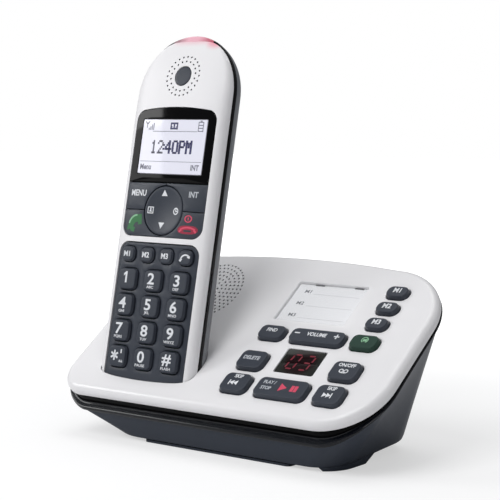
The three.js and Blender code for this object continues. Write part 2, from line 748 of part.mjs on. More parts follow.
// Footprint ring near the ground, with the same point order as the panel outline.
function footprintRing(inset, raise) {
  const half = footprintWidth / 2 - inset;
  const front = FOOTPRINT_FRONT_Y + inset;
  const rear = FOOTPRINT_REAR_Y - inset;
  const ring = [];
  const push = (x, y) => ring.push(new THREE.Vector3(x, y, bottomAt(y) + raise));
  const arc = (x, y, radius, quarter) => {
    for (let step = 0; step <= OUTLINE_STEPS; step += 1) {
      const angle = (quarter + step / OUTLINE_STEPS) * QUARTER_TURN;
      push(x + radius * Math.cos(angle), y + radius * Math.sin(angle));
    }
  };
  const rearRound = FOOTPRINT_REAR_CORNER - inset;
  const leftRound = FOOTPRINT_LEFT_CORNER - inset;
  const rightRound = FOOTPRINT_RIGHT_CORNER - inset;
  arc(half - rearRound, rear - rearRound, rearRound, 0);
  for (let step = 1; step < BOW_STEPS; step += 1) {
    const share = 1 - (2 * step) / BOW_STEPS;
    push((half - rearRound) * share, rear + REAR_BOW * (1 - share ** 2));
  }
  arc(-half + rearRound, rear - rearRound, rearRound, 1);
  arc(-half + leftRound, front + leftRound, leftRound, 2);
  arc(half - rightRound, front + rightRound, rightRound, 3);
  return ring;
}

function panelRingInBase(inset, depth, flare = 0) {
  return outlineRing(inset, depth, flare).map((point) => point.applyMatrix4(panelToBase));
}

const jackRearY = FOOTPRINT_REAR_Y - JACK_SINK;

function jackHole(x) {
  const half = JACK_WIDTH / 2 + GAP;
  const rise = JACK_HEIGHT / 2 + GAP;
  return box(
    [x - half, jackRearY - JACK_DEPTH - GAP, JACK_CENTRE_Z - rise],
    [x + half, FOOTPRINT_REAR_Y + OVERRUN, JACK_CENTRE_Z + rise],
  );
}

function addHousing() {
  let housing = loft([
    footprintRing(0, 0),
    panelRingInBase(HOUSING_INSET, housingTop, LIP_OVERHANG),
    panelRingInBase(HOUSING_INSET + HOUSING_WALL, housingTop, LIP_OVERHANG),
    footprintRing(HOUSING_WALL, HOUSING_FLOOR),
  ]);
  housing = housing.subtract(jackHole(powerJackX)).subtract(jackHole(lineJackX));
  addMesh(base, "base_housing", housing, finishes.slateHousing);
}

function addJack(name, x) {
  const body = box(
    [x - JACK_WIDTH / 2, jackRearY - JACK_DEPTH, JACK_CENTRE_Z - JACK_HEIGHT / 2],
    [x + JACK_WIDTH / 2, jackRearY, JACK_CENTRE_Z + JACK_HEIGHT / 2],
  );
  const socket = box(
    [x - SOCKET_WIDTH / 2, jackRearY - SOCKET_DEPTH, JACK_CENTRE_Z - SOCKET_HEIGHT / 2],
    [x + SOCKET_WIDTH / 2, jackRearY + OVERRUN, JACK_CENTRE_Z + SOCKET_HEIGHT / 2],
  );
  addMesh(base, name, body.subtract(socket), finishes.darkPart);
}

// A foot that reaches from the ground to one gap under the sloping bottom.
function foot(ring) {
  const onGround = ring.map((point) => new THREE.Vector3(point.x, point.y, 0));
  const underBottom = ring.map((point) => new THREE.Vector3(point.x, point.y, bottomAt(point.y) - GAP));
  return loft([onGround, underBottom]);
}

function addFeet() {
  const frontY = FOOTPRINT_FRONT_Y + FOOT_FROM_EDGE + FOOT_WIDTH / 2;
  const rearY = FOOTPRINT_REAR_Y - FOOT_FROM_EDGE - FOOT_WIDTH / 2;
  const strip = (share, y) => foot(roundedRing(across(share), FOOT_WIDTH, FOOT_ROUND, 0, 0, y));
  addMesh(base, "front_foot", strip(FRONT_FOOT_LENGTH_SHARE, frontY), finishes.rubber);
  addMesh(base, "rear_foot", strip(REAR_FOOT_LENGTH_SHARE, rearY), finishes.rubber);
  const outside = foot(footprintRing(FOOT_FROM_EDGE, 0));
  const inside = foot(footprintRing(FOOT_FROM_EDGE + FOOT_WIDTH, 0));
  const far = footprintWidth;
  const cornerEnd = FOOTPRINT_FRONT_Y + CORNER_FOOT_END;
  const corner = box([across(CORNER_FOOT_START_SHARE), -far, -OVERRUN], [far, cornerEnd, OVERRUN]);
  addMesh(base, "corner_foot", outside.subtract(inside).intersect(corner), finishes.rubber);
}

// Window, memo card, loudspeaker and circuit board of the base

function addWindow() {
  const clear = 2 * GAP;
  const size = [windowWidth - clear, WINDOW_HEIGHT - clear, WINDOW_ROUND - GAP];
  const bottom = WINDOW_SINK + WINDOW_THICKNESS;
  const lens = roundedPrism(...size, -bottom, -WINDOW_SINK, windowX, WINDOW_ROW);
  addMesh(panel, "display_window", lens, finishes.blackGloss);
}

function addMemo() {
  const clear = 2 * GAP;
  const size = [memoWidth - clear, MEMO_HEIGHT - clear, MEMO_ROUND - GAP];
  const cardBottom = GAP - MEMO_RECESS;
  const cardTop = cardBottom + MEMO_CARD_THICKNESS;
  const coverBottom = cardTop + GAP;
  addMesh(panel, "memo_card", roundedPrism(...size, cardBottom, cardTop, memoX, MEMO_ROW), finishes.paper);
  const cover = roundedPrism(...size, coverBottom, coverBottom + MEMO_COVER_THICKNESS, memoX, MEMO_ROW);
  addMesh(panel, "memo_cover", cover, finishes.clear);
}

function addSpeaker() {
  const top = -SPEAKER_TOP_DEPTH;
  const profile = [
    [0, top - SPEAKER_DEPTH],
    [SPEAKER_MAGNET_RADIUS, top - SPEAKER_DEPTH],
    [SPEAKER_MAGNET_RADIUS, top - SPEAKER_CONE_HEIGHT],
    [SPEAKER_BASKET_RADIUS, top - SPEAKER_CONE_HEIGHT],
    [SPEAKER_RADIUS, top - SPEAKER_RIM],
    [SPEAKER_RADIUS, top],
    [SPEAKER_RADIUS - SPEAKER_RIM, top],
    [SPEAKER_MAGNET_RADIUS / 2, top - SPEAKER_CONE_DEPTH],
    [0, top - SPEAKER_CONE_DEPTH],
  ];
  addMesh(panel, "base_speaker", turned(profile, handsetX, GRILLE_ROW), finishes.darkPart);
}

function addBoard() {
  const board = roundedPrism(
    boardRight - boardLeft, BOARD_REAR - BOARD_FRONT, BOARD_CORNER,
    -BOARD_TOP_DEPTH - BOARD_THICKNESS, -BOARD_TOP_DEPTH,
    (boardLeft + boardRight) / 2, (BOARD_FRONT + BOARD_REAR) / 2,
  );
  const halfX = windowWidth / 2 - DIGIT_MODULE_MARGIN;
  const halfY = WINDOW_HEIGHT / 2 - DIGIT_MODULE_MARGIN;
  const digitModule = box(
    [windowX - halfX, WINDOW_ROW - halfY, -BOARD_TOP_DEPTH - BOARD_THICKNESS / 2],
    [windowX + halfX, WINDOW_ROW + halfY, -WINDOW_SINK - WINDOW_THICKNESS - GAP],
  );
  addMesh(panel, "base_board", board.add(digitModule), finishes.board);
}

// Cradle and charge contacts, drawn in the handset's own frame

function addCradle() {
  const half = BASE_WIDTH;
  const belowCollar = box([-half, -half, -half], [half, 2 * half, -COLLAR_DEPTH - GAP]);
  let cradle = envelope(CRADLE_CLEARANCE + CRADLE_WALL).subtract(envelope(CRADLE_CLEARANCE));
  cradle = cradle.intersect(moved(belowCollar, panelToHandset));
  const inside = loft([
    footprintRing(HOUSING_WALL + GAP, HOUSING_FLOOR + GAP),
    panelRingInBase(HOUSING_INSET + HOUSING_WALL + GAP, housingTop),
    panelRingInBase(BAND_INSET + BAND_WALL + GAP, COVER_WALL),
  ]);
  cradle = cradle.intersect(moved(inside, handsetToBase.clone().invert()));
  const keepOut = envelope(GAP);
  for (const [side, name] of [[-1, "charge_contact_left"], [1, "charge_contact_right"]]) {
    const x = side * CONTACT_OFFSET_X;
    const half = CONTACT_WIDTH / 2;
    const strip = (margin) => box(
      [x - half - margin, -CONTACT_LENGTH / 2 - margin, -CONTACT_DEPTH - CONTACT_THICKNESS - margin],
      [x + half + margin, CONTACT_LENGTH + margin, -CONTACT_DEPTH + margin],
    );
    cradle = cradle.subtract(strip(GAP));
    addMesh(handset, name, strip(0).subtract(keepOut), finishes.contact);
  }
  addMesh(handset, "charging_cradle", cradle, finishes.darkPart);
}

// Handset shells, seam band and ringer light

function faceOutline(halfWidth, low, high, lowRound, highRound, arch, bottom, top) {
  const ringAt = (z) => {
    const ring = [];
    const corners = [
      [halfWidth - highRound, high - highRound, highRound, 0],
      [-halfWidth + highRound, high - highRound, highRound, 1],
      [-halfWidth + lowRound, low + lowRound, lowRound, 2],
      [halfWidth - lowRound, low + lowRound, lowRound, 3],
    ];
    for (const [x, y, radius, quarter] of corners) {
      for (let step = 0; step <= CORNER_STEPS; step += 1) {
        const angle = (quarter + step / CORNER_STEPS) * QUARTER_TURN;
        ring.push(new THREE.Vector3(x + radius * Math.cos(angle), y + radius * Math.sin(angle), z));
      }
      if (quarter === 0) {
        ring.push(new THREE.Vector3(0, high + arch, z));
      }
    }
    return ring;
  };
  return loft([ringAt(bottom), ringAt(top)]);
}

const screenRow = along(SCREEN_BOTTOM_SHARE + SCREEN_TOP_SHARE) / 2;
const screenHeight = along(SCREEN_TOP_SHARE - SCREEN_BOTTOM_SHARE);

function keypadPrism(inset, bottom, top) {
  const round = FACE_ROUND - inset;
  const ends = [along(KEYPAD_BOTTOM_SHARE) + inset, along(KEYPAD_TOP_SHARE) - inset];
  const sizes = [panelHalfWidth - inset, ...ends, round, round, 0];
  return faceOutline(...sizes, bottom, top);
}

function upperPrism(inset, bottom, top) {
  const round = FACE_ROUND - inset;
  const sizes = [panelHalfWidth - inset, upperBottom + inset, bezelTop - inset, round, round, BEZEL_ARCH];
  return faceOutline(...sizes, bottom, top);
}

function ringHoles(radius, count) {
  const holes = [];
  for (let k = 0; k < count; k += 1) {
    const angle = (FULL_TURN * k) / count;
    const x = radius * Math.sin(angle);
    const y = earpieceRow + radius * Math.cos(angle);
    holes.push(rod(SOUND_HOLE_RADIUS, -SEAM_DEPTH, OVERRUN, x, y, HOLE_SIDES));
  }
  return holes;
}

function addFrontShell() {
  const rim = SEAM_DEPTH - BAND_THICKNESS / 2 - GAP;
  let shell = outer.intersect(slice(-OVERRUN, rim)).subtract(inner);
  const cuts = [
    keypadPrism(0, -SEAM_DEPTH, OVERRUN),
    upperPrism(0, -SEAM_DEPTH, OVERRUN),
    rod(EARPIECE_DISC_RADIUS + GAP, -SEAM_DEPTH, OVERRUN, 0, earpieceRow),
    ...ringHoles(INNER_SOUND_RING, INNER_SOUND_HOLES),
    ...ringHoles(OUTER_SOUND_RING, OUTER_SOUND_HOLES),
  ];
  for (const cut of cuts) {
    shell = shell.subtract(cut);
  }
  addMesh(handset, "handset_front_shell", shell, finishes.whiteShell);
  const disc = envelope(GAP / 2).intersect(
    rod(EARPIECE_DISC_RADIUS, -EARPIECE_DISC_DEPTH, OVERRUN, 0, earpieceRow),
  );
  addMesh(handset, "earpiece_disc", disc, finishes.slateRubber);
}

const ringerNear = SEAM_DEPTH - BAND_THICKNESS / 2;

function ringerBlock(margin) {
  const half = RINGER_HALF_WIDTH + margin;
  return box(
    [-half, HANDSET_LENGTH - RINGER_REACH, -ringerNear - RINGER_THICKNESS - margin],
    [half, HANDSET_LENGTH + OVERRUN, -ringerNear + margin],
  );
}

function addSeamBand() {
  const hoop = envelope(BAND_PROUD).subtract(envelope(-BAND_DEPTH, INNER_SECTION_STEPS));
  const band = hoop.intersect(slice(ringerNear, ringerNear + BAND_THICKNESS)).subtract(ringerBlock(GAP));
  addMesh(handset, "seam_band", band, finishes.blackGloss);
  addMesh(handset, "ringer_light", hoop.intersect(ringerBlock(0)), finishes.redLight);
}

const cellDepth = BACK_DEPTH + SEAM_DEPTH - DOOR_THICKNESS - CELL_CLEARANCE - CELL_RADIUS;
const bayFloor = cellDepth - CELL_RADIUS - GAP;
const bayHalf = CELL_SPACING / 2 + CELL_RADIUS + BAY_CLEARANCE / 2;
const bayTop = bayBottom + CELL_LENGTH + CELL_TIP_LENGTH + 2 * BAY_CLEARANCE;
const doorHalf = bayHalf + DOOR_LEDGE;
const doorBottom = bayBottom - DOOR_LEDGE;
const doorTop = bayTop + DOOR_LEDGE;

function doorPrism(inset, far, near) {
  const round = DOOR_ROUND - inset;
  return faceOutline(doorHalf - inset, doorBottom + inset, doorTop - inset, round, round, 0, -far, -near);
}

function addBackShell() {
  const rim = ringerNear + BAND_THICKNESS + GAP;
  const farDepth = SEAM_DEPTH + BACK_DEPTH + OVERRUN;
  const wallHalf = doorHalf + BAY_WALL;
  const tray = box(
    [-wallHalf, doorBottom - BAY_WALL, -farDepth],
    [wallHalf, doorTop + BAY_WALL, BAY_WALL - bayFloor],
  ).intersect(outer);
  const bay = box([-bayHalf, bayBottom, -farDepth], [bayHalf, bayTop, -bayFloor]);
  let shell = outer.intersect(slice(rim, farDepth)).subtract(inner).add(tray);
  const seat = doorPrism(0, farDepth, 0).subtract(envelope(-DOOR_THICKNESS - GAP));
  shell = shell.subtract(seat).subtract(bay).subtract(ringerBlock(GAP));
  addMesh(handset, "handset_back_shell", shell, finishes.greyShell);
  const doorBlock = doorPrism(GAP, farDepth, DOOR_NEAR_DEPTH).intersect(outer);
  const door = doorBlock.subtract(envelope(-DOOR_THICKNESS));
  addMesh(handset, "battery_door", door, finishes.greyShell);
}

function addBattery() {
  const upright = new THREE.Matrix4().makeRotationX(-QUARTER_TURN);
  const low = bayBottom + BAY_CLEARANCE;
  const high = low + CELL_LENGTH;
  let pack = box(
    [-CELL_SPACING / 2, low, -cellDepth - SLEEVE_THICKNESS / 2],
    [CELL_SPACING / 2, high, -cellDepth + SLEEVE_THICKNESS / 2],
  );
  for (const side of [-1, 1]) {
    const x = (side * CELL_SPACING) / 2;
    const cell = rod(CELL_RADIUS, low, high, x, cellDepth, CELL_STEPS);
    const tipEnds = [high - CELL_TIP_LENGTH, high + CELL_TIP_LENGTH];
    const tip = rod(CELL_TIP_RADIUS, ...tipEnds, x, cellDepth, CELL_STEPS);
    pack = pack.add(moved(cell, upright)).add(moved(tip, upright));
  }
  addMesh(handset, "battery_pack", pack, finishes.cell);
}

// Keys and display of the handset

function addKeypad() {
  let mat = keypadPrism(GAP, -MAT_DEPTH, OVERRUN).intersect(envelope(-FACE_SINK));
  const keys = [];
  const numbers = ["star", "0", "hash", "7", "8", "9", "4", "5", "6", "1", "2", "3"];
  numbers.forEach((label, k) => {
    const x = ((k % 3) - 1) * acrossFace(NUMBER_PITCH_X_SHARE);
    const y = along(NUMBER_FIRST_ROW_SHARE) + Math.floor(k / 3) * along(NUMBER_PITCH_Y_SHARE);
    const [width, height] = [acrossFace(NUMBER_WIDTH_SHARE), along(NUMBER_HEIGHT_SHARE)];
    keys.push({ name: `number_key_${label}`, x, y, width, height, proud: NUMBER_PROUD });
  });
  const smallKeys = ["memory_key_1", "memory_key_2", "memory_key_3", "handsfree_key"];
  smallKeys.forEach((name, k) => {
    const x = (k - (smallKeys.length - 1) / 2) * acrossFace(SMALL_PITCH_SHARE);
    const [width, height] = [acrossFace(SMALL_WIDTH_SHARE), along(SMALL_HEIGHT_SHARE)];
    keys.push({ name, x, y: along(SMALL_ROW_SHARE), width, height, proud: SMALL_PROUD });
  });
  for (const key of keys) {
    mat = mat.subtract(keyHole(key, NUMBER_ROUND, KEY_CLEARANCE));
    const solid = flangedKey(key, NUMBER_ROUND, MAT_DEPTH, key.proud, NUMBER_EDGE, NUMBER_FLANGE_THICKNESS);
    addMesh(handset, key.name, solid, finishes.slateRubber);
  }
  addMesh(handset, "keypad_mat", mat, finishes.slateRubber);
}

function addSoftKeys() {
  const split = SOFT_KEY_GAP / 2;
  const foot = SOFT_KEY_FLANGE_TOP + SOFT_KEY_FLANGE_THICKNESS;
  const face = envelope(-FACE_SINK / 2);
  const navHole = rod(navRadius + SOFT_KEY_GAP, -SEAM_DEPTH, OVERRUN, 0, navRow, NAV_STEPS);
  const body = upperPrism(GAP, -foot, OVERRUN).intersect(face);
  const flange = upperPrism(-KEY_FLANGE, -foot, -SOFT_KEY_FLANGE_TOP);
  const all = body.add(flange).subtract(navHole);
  const quadrants = [
    { name: "menu_key", sideX: -1, low: navRow + split, high: upperTop - split },
    { name: "intercom_key", sideX: 1, low: navRow + split, high: upperTop - split },
    { name: "talk_key", sideX: -1, low: upperBottom - OVERRUN, high: navRow - split },
    { name: "end_key", sideX: 1, low: upperBottom - OVERRUN, high: navRow - split },
  ];
  for (const { name, sideX, low, high } of quadrants) {
    const far = sideX * HANDSET_WIDTH;
    const near = sideX * split;
    const region = box([Math.min(near, far), low, -SEAM_DEPTH], [Math.max(near, far), high, OVERRUN]);
    addMesh(handset, name, all.intersect(region), finishes.slateRubber);
  }
  const disc = rod(navRadius, -NAV_DEPTH, OVERRUN, 0, navRow, NAV_STEPS).intersect(face);
  const post = rod(NAV_POST_RADIUS, GAP - HANDSET_BOARD_DEPTH, -NAV_DEPTH / 2, 0, navRow);
  addMesh(handset, "navigation_key", disc.add(post), finishes.slateRubber);
}

function addDisplay() {
  const split = SOFT_KEY_GAP / 2;
  const window = box(
    [-screenWidth / 2, screenBottom, -SEAM_DEPTH],
    [screenWidth / 2, screenTop, OVERRUN],
  );
  const bezel = upperPrism(GAP, -BEZEL_DEPTH, OVERRUN)
    .intersect(envelope(-FACE_SINK / 2))
    .intersect(slice(-OVERRUN, SEAM_DEPTH, upperTop + split, bezelTop + OVERRUN))
    .subtract(window);
  addMesh(handset, "display_bezel", bezel, finishes.blackGloss);
  const glass = box(
    [GAP - screenWidth / 2, screenBottom + GAP, -BEZEL_DEPTH - SCREEN_SINK - GAP],
    [screenWidth / 2 - GAP, screenTop - GAP, -SCREEN_SINK],
  );
  const body = box(
    [-screenWidth / 2 - SCREEN_BODY_MARGIN, screenBottom - SCREEN_BODY_MARGIN, GAP - HANDSET_BOARD_DEPTH],
    [screenWidth / 2 + SCREEN_BODY_MARGIN, screenTop + SCREEN_BODY_MARGIN, -BEZEL_DEPTH - GAP],
  );
  addMesh(handset, "screen_module", glass.add(body), finishes.screen);
}

function addHandsetInside() {
  const depth = HANDSET_BOARD_DEPTH;
  const ends = [along(HANDSET_BOARD_BOTTOM_SHARE), along(HANDSET_BOARD_TOP_SHARE)];
  const plate = slice(depth, depth + HANDSET_BOARD_THICKNESS, ...ends);
  const board = envelope(-BAND_DEPTH - GAP, INNER_SECTION_STEPS).intersect(plate);
  addMesh(handset, "handset_board", board, finishes.board);
  const speakerBottom = -EARPIECE_SPEAKER_DEPTH - EARPIECE_SPEAKER_THICKNESS;
  const rim = EARPIECE_SPEAKER_THICKNESS * EARPIECE_RIM_SHARE;
  const profile = [
    [0, speakerBottom],
    [EARPIECE_SPEAKER_RADIUS / 2, speakerBottom],
    [EARPIECE_SPEAKER_RADIUS / 2, speakerBottom + rim],
    [EARPIECE_SPEAKER_RADIUS, speakerBottom + rim],
    [EARPIECE_SPEAKER_RADIUS, -EARPIECE_SPEAKER_DEPTH],
    [0, -EARPIECE_SPEAKER_DEPTH],
  ];
  addMesh(handset, "earpiece_speaker", turned(profile, 0, earpieceRow), finishes.darkPart);
}

addCover();
addTrimBand();
addHousing();
addJack("power_jack", powerJackX);
addJack("line_jack", lineJackX);
addFeet();
addWindow();
addMemo();
addSpeaker();
addBoard();
addBaseKeys();
addCradle();
addFrontShell();
addSeamBand();
addBackShell();
addBattery();
addKeypad();
addSoftKeys();
addDisplay();
addHandsetInside();

export default machine;
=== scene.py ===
import math

import bmesh
import bpy
import numpy as np
from mathutils import Matrix, Vector
from mathutils.geometry import delaunay_2d_cdt


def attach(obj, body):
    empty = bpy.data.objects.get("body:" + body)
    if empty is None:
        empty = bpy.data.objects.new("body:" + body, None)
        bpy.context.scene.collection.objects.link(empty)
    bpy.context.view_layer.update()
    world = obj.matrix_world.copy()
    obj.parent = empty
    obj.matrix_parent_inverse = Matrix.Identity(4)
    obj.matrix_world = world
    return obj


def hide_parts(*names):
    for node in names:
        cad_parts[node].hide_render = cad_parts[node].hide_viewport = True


bl_info = {
    "name": "Answering Machine",
    "version": (1, 0, 0),
    "blender": (4, 5, 0),
    "location": "3D View > Sidebar > Machine",
    "description": "Builds an answering machine with its cordless handset, and the stage round it",
    "category": "Add Mesh",
}

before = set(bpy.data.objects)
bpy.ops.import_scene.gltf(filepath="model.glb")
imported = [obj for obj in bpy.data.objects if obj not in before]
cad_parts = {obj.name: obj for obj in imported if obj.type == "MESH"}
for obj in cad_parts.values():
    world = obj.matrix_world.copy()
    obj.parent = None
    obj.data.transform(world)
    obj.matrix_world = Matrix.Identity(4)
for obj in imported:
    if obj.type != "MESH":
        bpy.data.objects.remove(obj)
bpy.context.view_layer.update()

# Lengths below are in millimetres. PANEL is the tilted top of the base, HANDSET stands the handset up.
MM = 0.001
TO_METRES = Matrix.Scale(MM, 4)
QUARTER = math.pi / 2
BASE = Matrix.Identity(4)
PANEL = Matrix.Translation((0, -40.56, 22)) @ Matrix.Rotation(math.radians(35.8), 4, "X")
HANDSET = Matrix.Translation((-37.1, -34.61, 17)) @ Matrix.Rotation(math.radians(78), 4, "X")
GAP, KEY_GAP, THIN_PRINT, SLEEVE_WALL = 0.3, 0.35, 0.02, 0.04

# Base: its outline on the panel, and the footprint and slope of its bottom. Corners are radii.
HALF_WIDTH, PANEL_LENGTH, REAR_BOW = 80.9, 94.5, 3
LEFT_CORNER, RIGHT_CORNER, REAR_CORNER = 14, 26, 31
FOOT_HALF, FOOT_FRONT, FOOT_REAR = 60.5, -29.5, 34.8
FOOT_LEFT, FOOT_RIGHT, FOOT_BACK = 20, 14, 19
BOTTOM_LOW, BOTTOM_SLOPE = 1.3, 4.4 / 64.3
SOCKET_COLUMNS, SOCKET_HALF, SOCKET_ROWS, SOCKET_LEVELS = (40, 19), 7.3, (21.5, 43), (9.7, 22.3)
SCREWS = ((-44, -10), (44, -10), (-44, -50), (44, -50))
CORNER_FOOT, CORNER_FOOT_RADIUS, CORNER_FOOT_END = (46.5, -15.5), 13.7, 0.5

# Cover, trim band with its lip, and the hollow round the handset with the grille.
COVER_WALL, COVER_RIM, COVER_SKIRT, COVER_ROUND = 2.8, 2.2, 4.6, 3.2
BAND_TOP, BAND_FRONT, BAND_REAR, BAND_FALL = 4.9, 7.6, 1.2, 7
LIP, LIP_FALL = 1.6, 16
DISH_CENTRE, DISH_RADIUS, DISH_DEPTH, DISH_SOFT = (-37.1, 44), 36, 3.4, 0.9
DISH_NET, DISH_NET_PITCH, DISH_NET_REACH = ((-78, 0), (8, 90)), 1.7, 42.5
GRILLE_ROW = 69.5
CRADLE_GAP, CRADLE_OUTSIDE, CRADLE_EDGE = 0.7, 2.3, 0.6

# Keys and fields of the base. MEMO and WINDOW are x, y, width and height.
COLUMNS = (12.1, 35.1, 58.1)
BASE_KEY_CORNER, BASE_KEY_PROUD = 3, 1.8
MEMO, MEMO_DEPTH = (24.6, 66, 36, 24.2), 1.9
WINDOW = (34.2, 31.2, 19.5, 14)
DIGIT_WIDTH, DIGIT_HEIGHT, DIGIT_BAR, DIGIT_LEAN = 3.9, 8.0, 0.8, 0.14

# Handset: its size, the powers of its rounded sections, and how far its ends reach.
LENGTH, WIDTH, SEAM, BACK = 161.7, 52, 6.5, 16
FRONT_POWER, BACK_POWER, OVAL = 4.5, 2.05, 2.2
TIP_SIDE, TIP_FRONT, TIP_BACK = 14, 9, 12
HEAD_START, HEAD_FALL, DOME = 118, 0.8, 27
SHELL_WALL, FRONT_END, TRIM_START, TRIM_END, BACK_START, REAR_END = 1.8, 5.25, 5.55, 7.45, 7.75, 30.5
SHELL_TOLERANCE, TRIM_TOLERANCE = 0.09, 0.3
RINGER_HALF, RINGER_LEVELS, RINGER_REACH = 11, (-9.45, -5.55), 15

# Face of the handset.
FACE_HALF, NAV_ROW, NAV_RADIUS, EAR_ROW = 22.4, 83.6, 10.65, 142.7
KEYPAD_LOW, KEYPAD_HIGH = 6, 69.6
UPPER_LOW, UPPER_HIGH, UPPER_ARCH, FACE_CORNER = 71.9, 127.7, 1.2, 5
SPLIT, SPLIT_ROW = 0.175, 95.6
PAD_TOP, PAD_EDGE, PAD_HOLLOW = -0.15, 0.7, 0.95
HANDSET_KEY_CORNER = 2.6
NUMBER_KEY, NUMBER_PITCH, NUMBER_ROW = (10.1, 9.4, 1.0), (14.4, 11.2), 19.5
MEMORY_KEY, MEMORY_PITCH, MEMORY_ROW = (7.4, 6.6, 0.8), 10.7, 64
EAR_HOLE, EAR_DISC, EAR_RINGS = 4.55, 4.25, ((6.7, 18), (8.8, 24))
SCREEN_ROW, SCREEN_WIDTH, SCREEN_HEIGHT, SCREEN_DEPTH = 111.45, 36.3, 24.3, 0.5
CELL_WIDTH, CELL_HEIGHT, CLOCK_ROW = 0.625, 0.84, 113.8


def srgb(red, green, blue):
    """A colour of 0 to 255 channels as the linear colour that Blender keeps."""
    channels = []
    for value in (red, green, blue):
        share = value / 255
        channels.append(share / 12.92 if share <= 0.04045 else ((share + 0.055) / 1.055) ** 2.4)
    return (*channels, 1.0)


# Settings


def colour_setting(label, description, default):
    """A colour that a user may change."""
    return bpy.props.FloatVectorProperty(
        name=label, description=description, default=default, subtype="COLOR", size=4, min=0, max=1
    )


def share_setting(label, description, default, top=1.0):
    """A plain number from 0 to a top value."""
    return bpy.props.FloatProperty(name=label, description=description, default=default, min=0, max=top)


def length_setting(label, description, default):
    """A length in metres."""
    return bpy.props.FloatProperty(
        name=label, description=description, default=default, min=0, subtype="DISTANCE", unit="LENGTH"
    )


class MachineShapes(bpy.types.PropertyGroup):
    """Sizes of the fine detail on the machine."""

    grille_pitch: length_setting("Grille pitch", "Distance between the rings of the grille", 0.00215)
    grille_hole: length_setting("Grille hole", "Radius of one hole of the grille", 0.00044)
    grille_rings: bpy.props.IntProperty(
        name="Grille rings", description="Rings of holes round the middle one", default=7, min=1, max=9
    )
    hole_rim: length_setting("Hole rim", "Rounding round the holes of the cover", 0.0004)
    print_height: length_setting("Print height", "Thickness of the printed signs", 0.00003)
    sound_hole: length_setting("Sound hole", "Radius of one hole round the earpiece", 0.00042)
    screw_radius: length_setting("Screw radius", "Radius of a screw head under the base", 0.0031)


class MachineFinishes(bpy.types.PropertyGroup):
    """Colours of the machine's finishes."""

    shell: colour_setting("Shell", "White covers", srgb(238, 237, 239))
    slate: colour_setting("Slate", "Keys and keypad", srgb(53, 58, 68))
    housing: colour_setting("Housing", "Lower housing", srgb(52, 58, 69))
    black: colour_setting("Black", "Gloss trim and bezel", srgb(3, 3, 4))
    grey: colour_setting("Grey", "Back of the handset", srgb(118, 121, 126))
    green: colour_setting("Green", "Speakerphone key", srgb(36, 62, 52))
    light: colour_setting("Light", "Ringer light", srgb(232, 178, 192))
    ink: colour_setting("Ink", "White signs", srgb(226, 228, 232))
    panel_ink: colour_setting("Display ink", "Dark cells of the display", srgb(14, 16, 84))
    glow: colour_setting("Display", "Lit face of the display", srgb(228, 228, 240))


class MachineStage(bpy.types.PropertyGroup):
    """Light levels of the stage."""

    world: share_setting("Surround", "Brightness of the surround", 0.25, 4.0)
    key: share_setting("Key light", "Strength of the light at the front left", 2.7, 50.0)
    high: share_setting("High light", "Strength of the light high in front", 7.1, 50.0)
    top: share_setting("Top light", "Strength of the light overhead", 4.66, 50.0)
    rear: share_setting("Rear light", "Strength of the light at the rear left", 0.95, 50.0)
    floor: colour_setting("Floor", "Colour of the floor", srgb(238, 238, 239))
    floor_glow: share_setting("Floor whiteness", "How white the camera sees the floor", 1.35, 4.0)


# Materials

DRIFT_SCALE, SMEAR_SCALE, GRAIN_DEPTH = 26, 140, 0.00004


def feed(tree, value, target):
    """Gives a socket a plain value, or links another socket to it."""
    if isinstance(value, bpy.types.NodeSocket):
        tree.links.new(value, target)
    else:
        target.default_value = value


def math_node(tree, operation, first, second, clamp=False):
    """A maths node fed by sockets or plain numbers."""
    node = tree.nodes.new("ShaderNodeMath")
    node.operation = operation
    node.use_clamp = clamp
    feed(tree, first, node.inputs[0])
    feed(tree, second, node.inputs[1])
    return node.outputs[0]


def vector_node(tree, operation, first, second):
    """A vector maths node of two vectors, or of a vector and a scale."""
    node = tree.nodes.new("ShaderNodeVectorMath")
    node.operation = operation
    feed(tree, first, node.inputs[0])
    if operation == "SCALE":
        feed(tree, second, node.inputs["Scale"])
        return node.outputs["Vector"]
    feed(tree, second, node.inputs[1])
    return node.outputs["Value"]


def object_place(tree):
    """The Object coordinates that every pattern reads."""
    return tree.nodes.new("ShaderNodeTexCoord").outputs["Object"]


def noise(tree, scale, detail=2):
    """A noise of 0 to 1 over the object."""
    node = tree.nodes.new("ShaderNodeTexNoise")
    node.inputs["Detail"].default_value = detail
    feed(tree, object_place(tree), node.inputs["Vector"])
    feed(tree, scale, node.inputs["Scale"])
    return node.outputs["Fac"]


def uneven(tree, value, spread, middle, clamp=False):
    """A noise of 0 to 1 turned into a spread round a middle value."""
    offset = math_node(tree, "MULTIPLY", math_node(tree, "SUBTRACT", value, 0.5), spread)
    return math_node(tree, "ADD", offset, middle, clamp)


def smooth_step(tree, value, bare, full):
    """A soft step that is 0 at the bare value and 1 at the full one."""
    ramp = tree.nodes.new("ShaderNodeMapRange")
    ramp.interpolation_type = "SMOOTHSTEP"
    for name, source in (("Value", value), ("From Min", bare), ("From Max", full)):
        feed(tree, source, ramp.inputs[name])
    return ramp.outputs["Result"]


def shader_group(name, entries, exits):
    """A shader group with named inputs and outputs: the tree, its inputs and its outputs."""
    tree = bpy.data.node_groups.new(name, "ShaderNodeTree")
    for way, sockets in (("INPUT", entries), ("OUTPUT", exits)):
        for socket, kind in sockets.items():
            tree.interface.new_socket(name=socket, in_out=way, socket_type=f"NodeSocket{kind}")
    return tree, tree.nodes.new("NodeGroupInput").outputs, tree.nodes.new("NodeGroupOutput").inputs


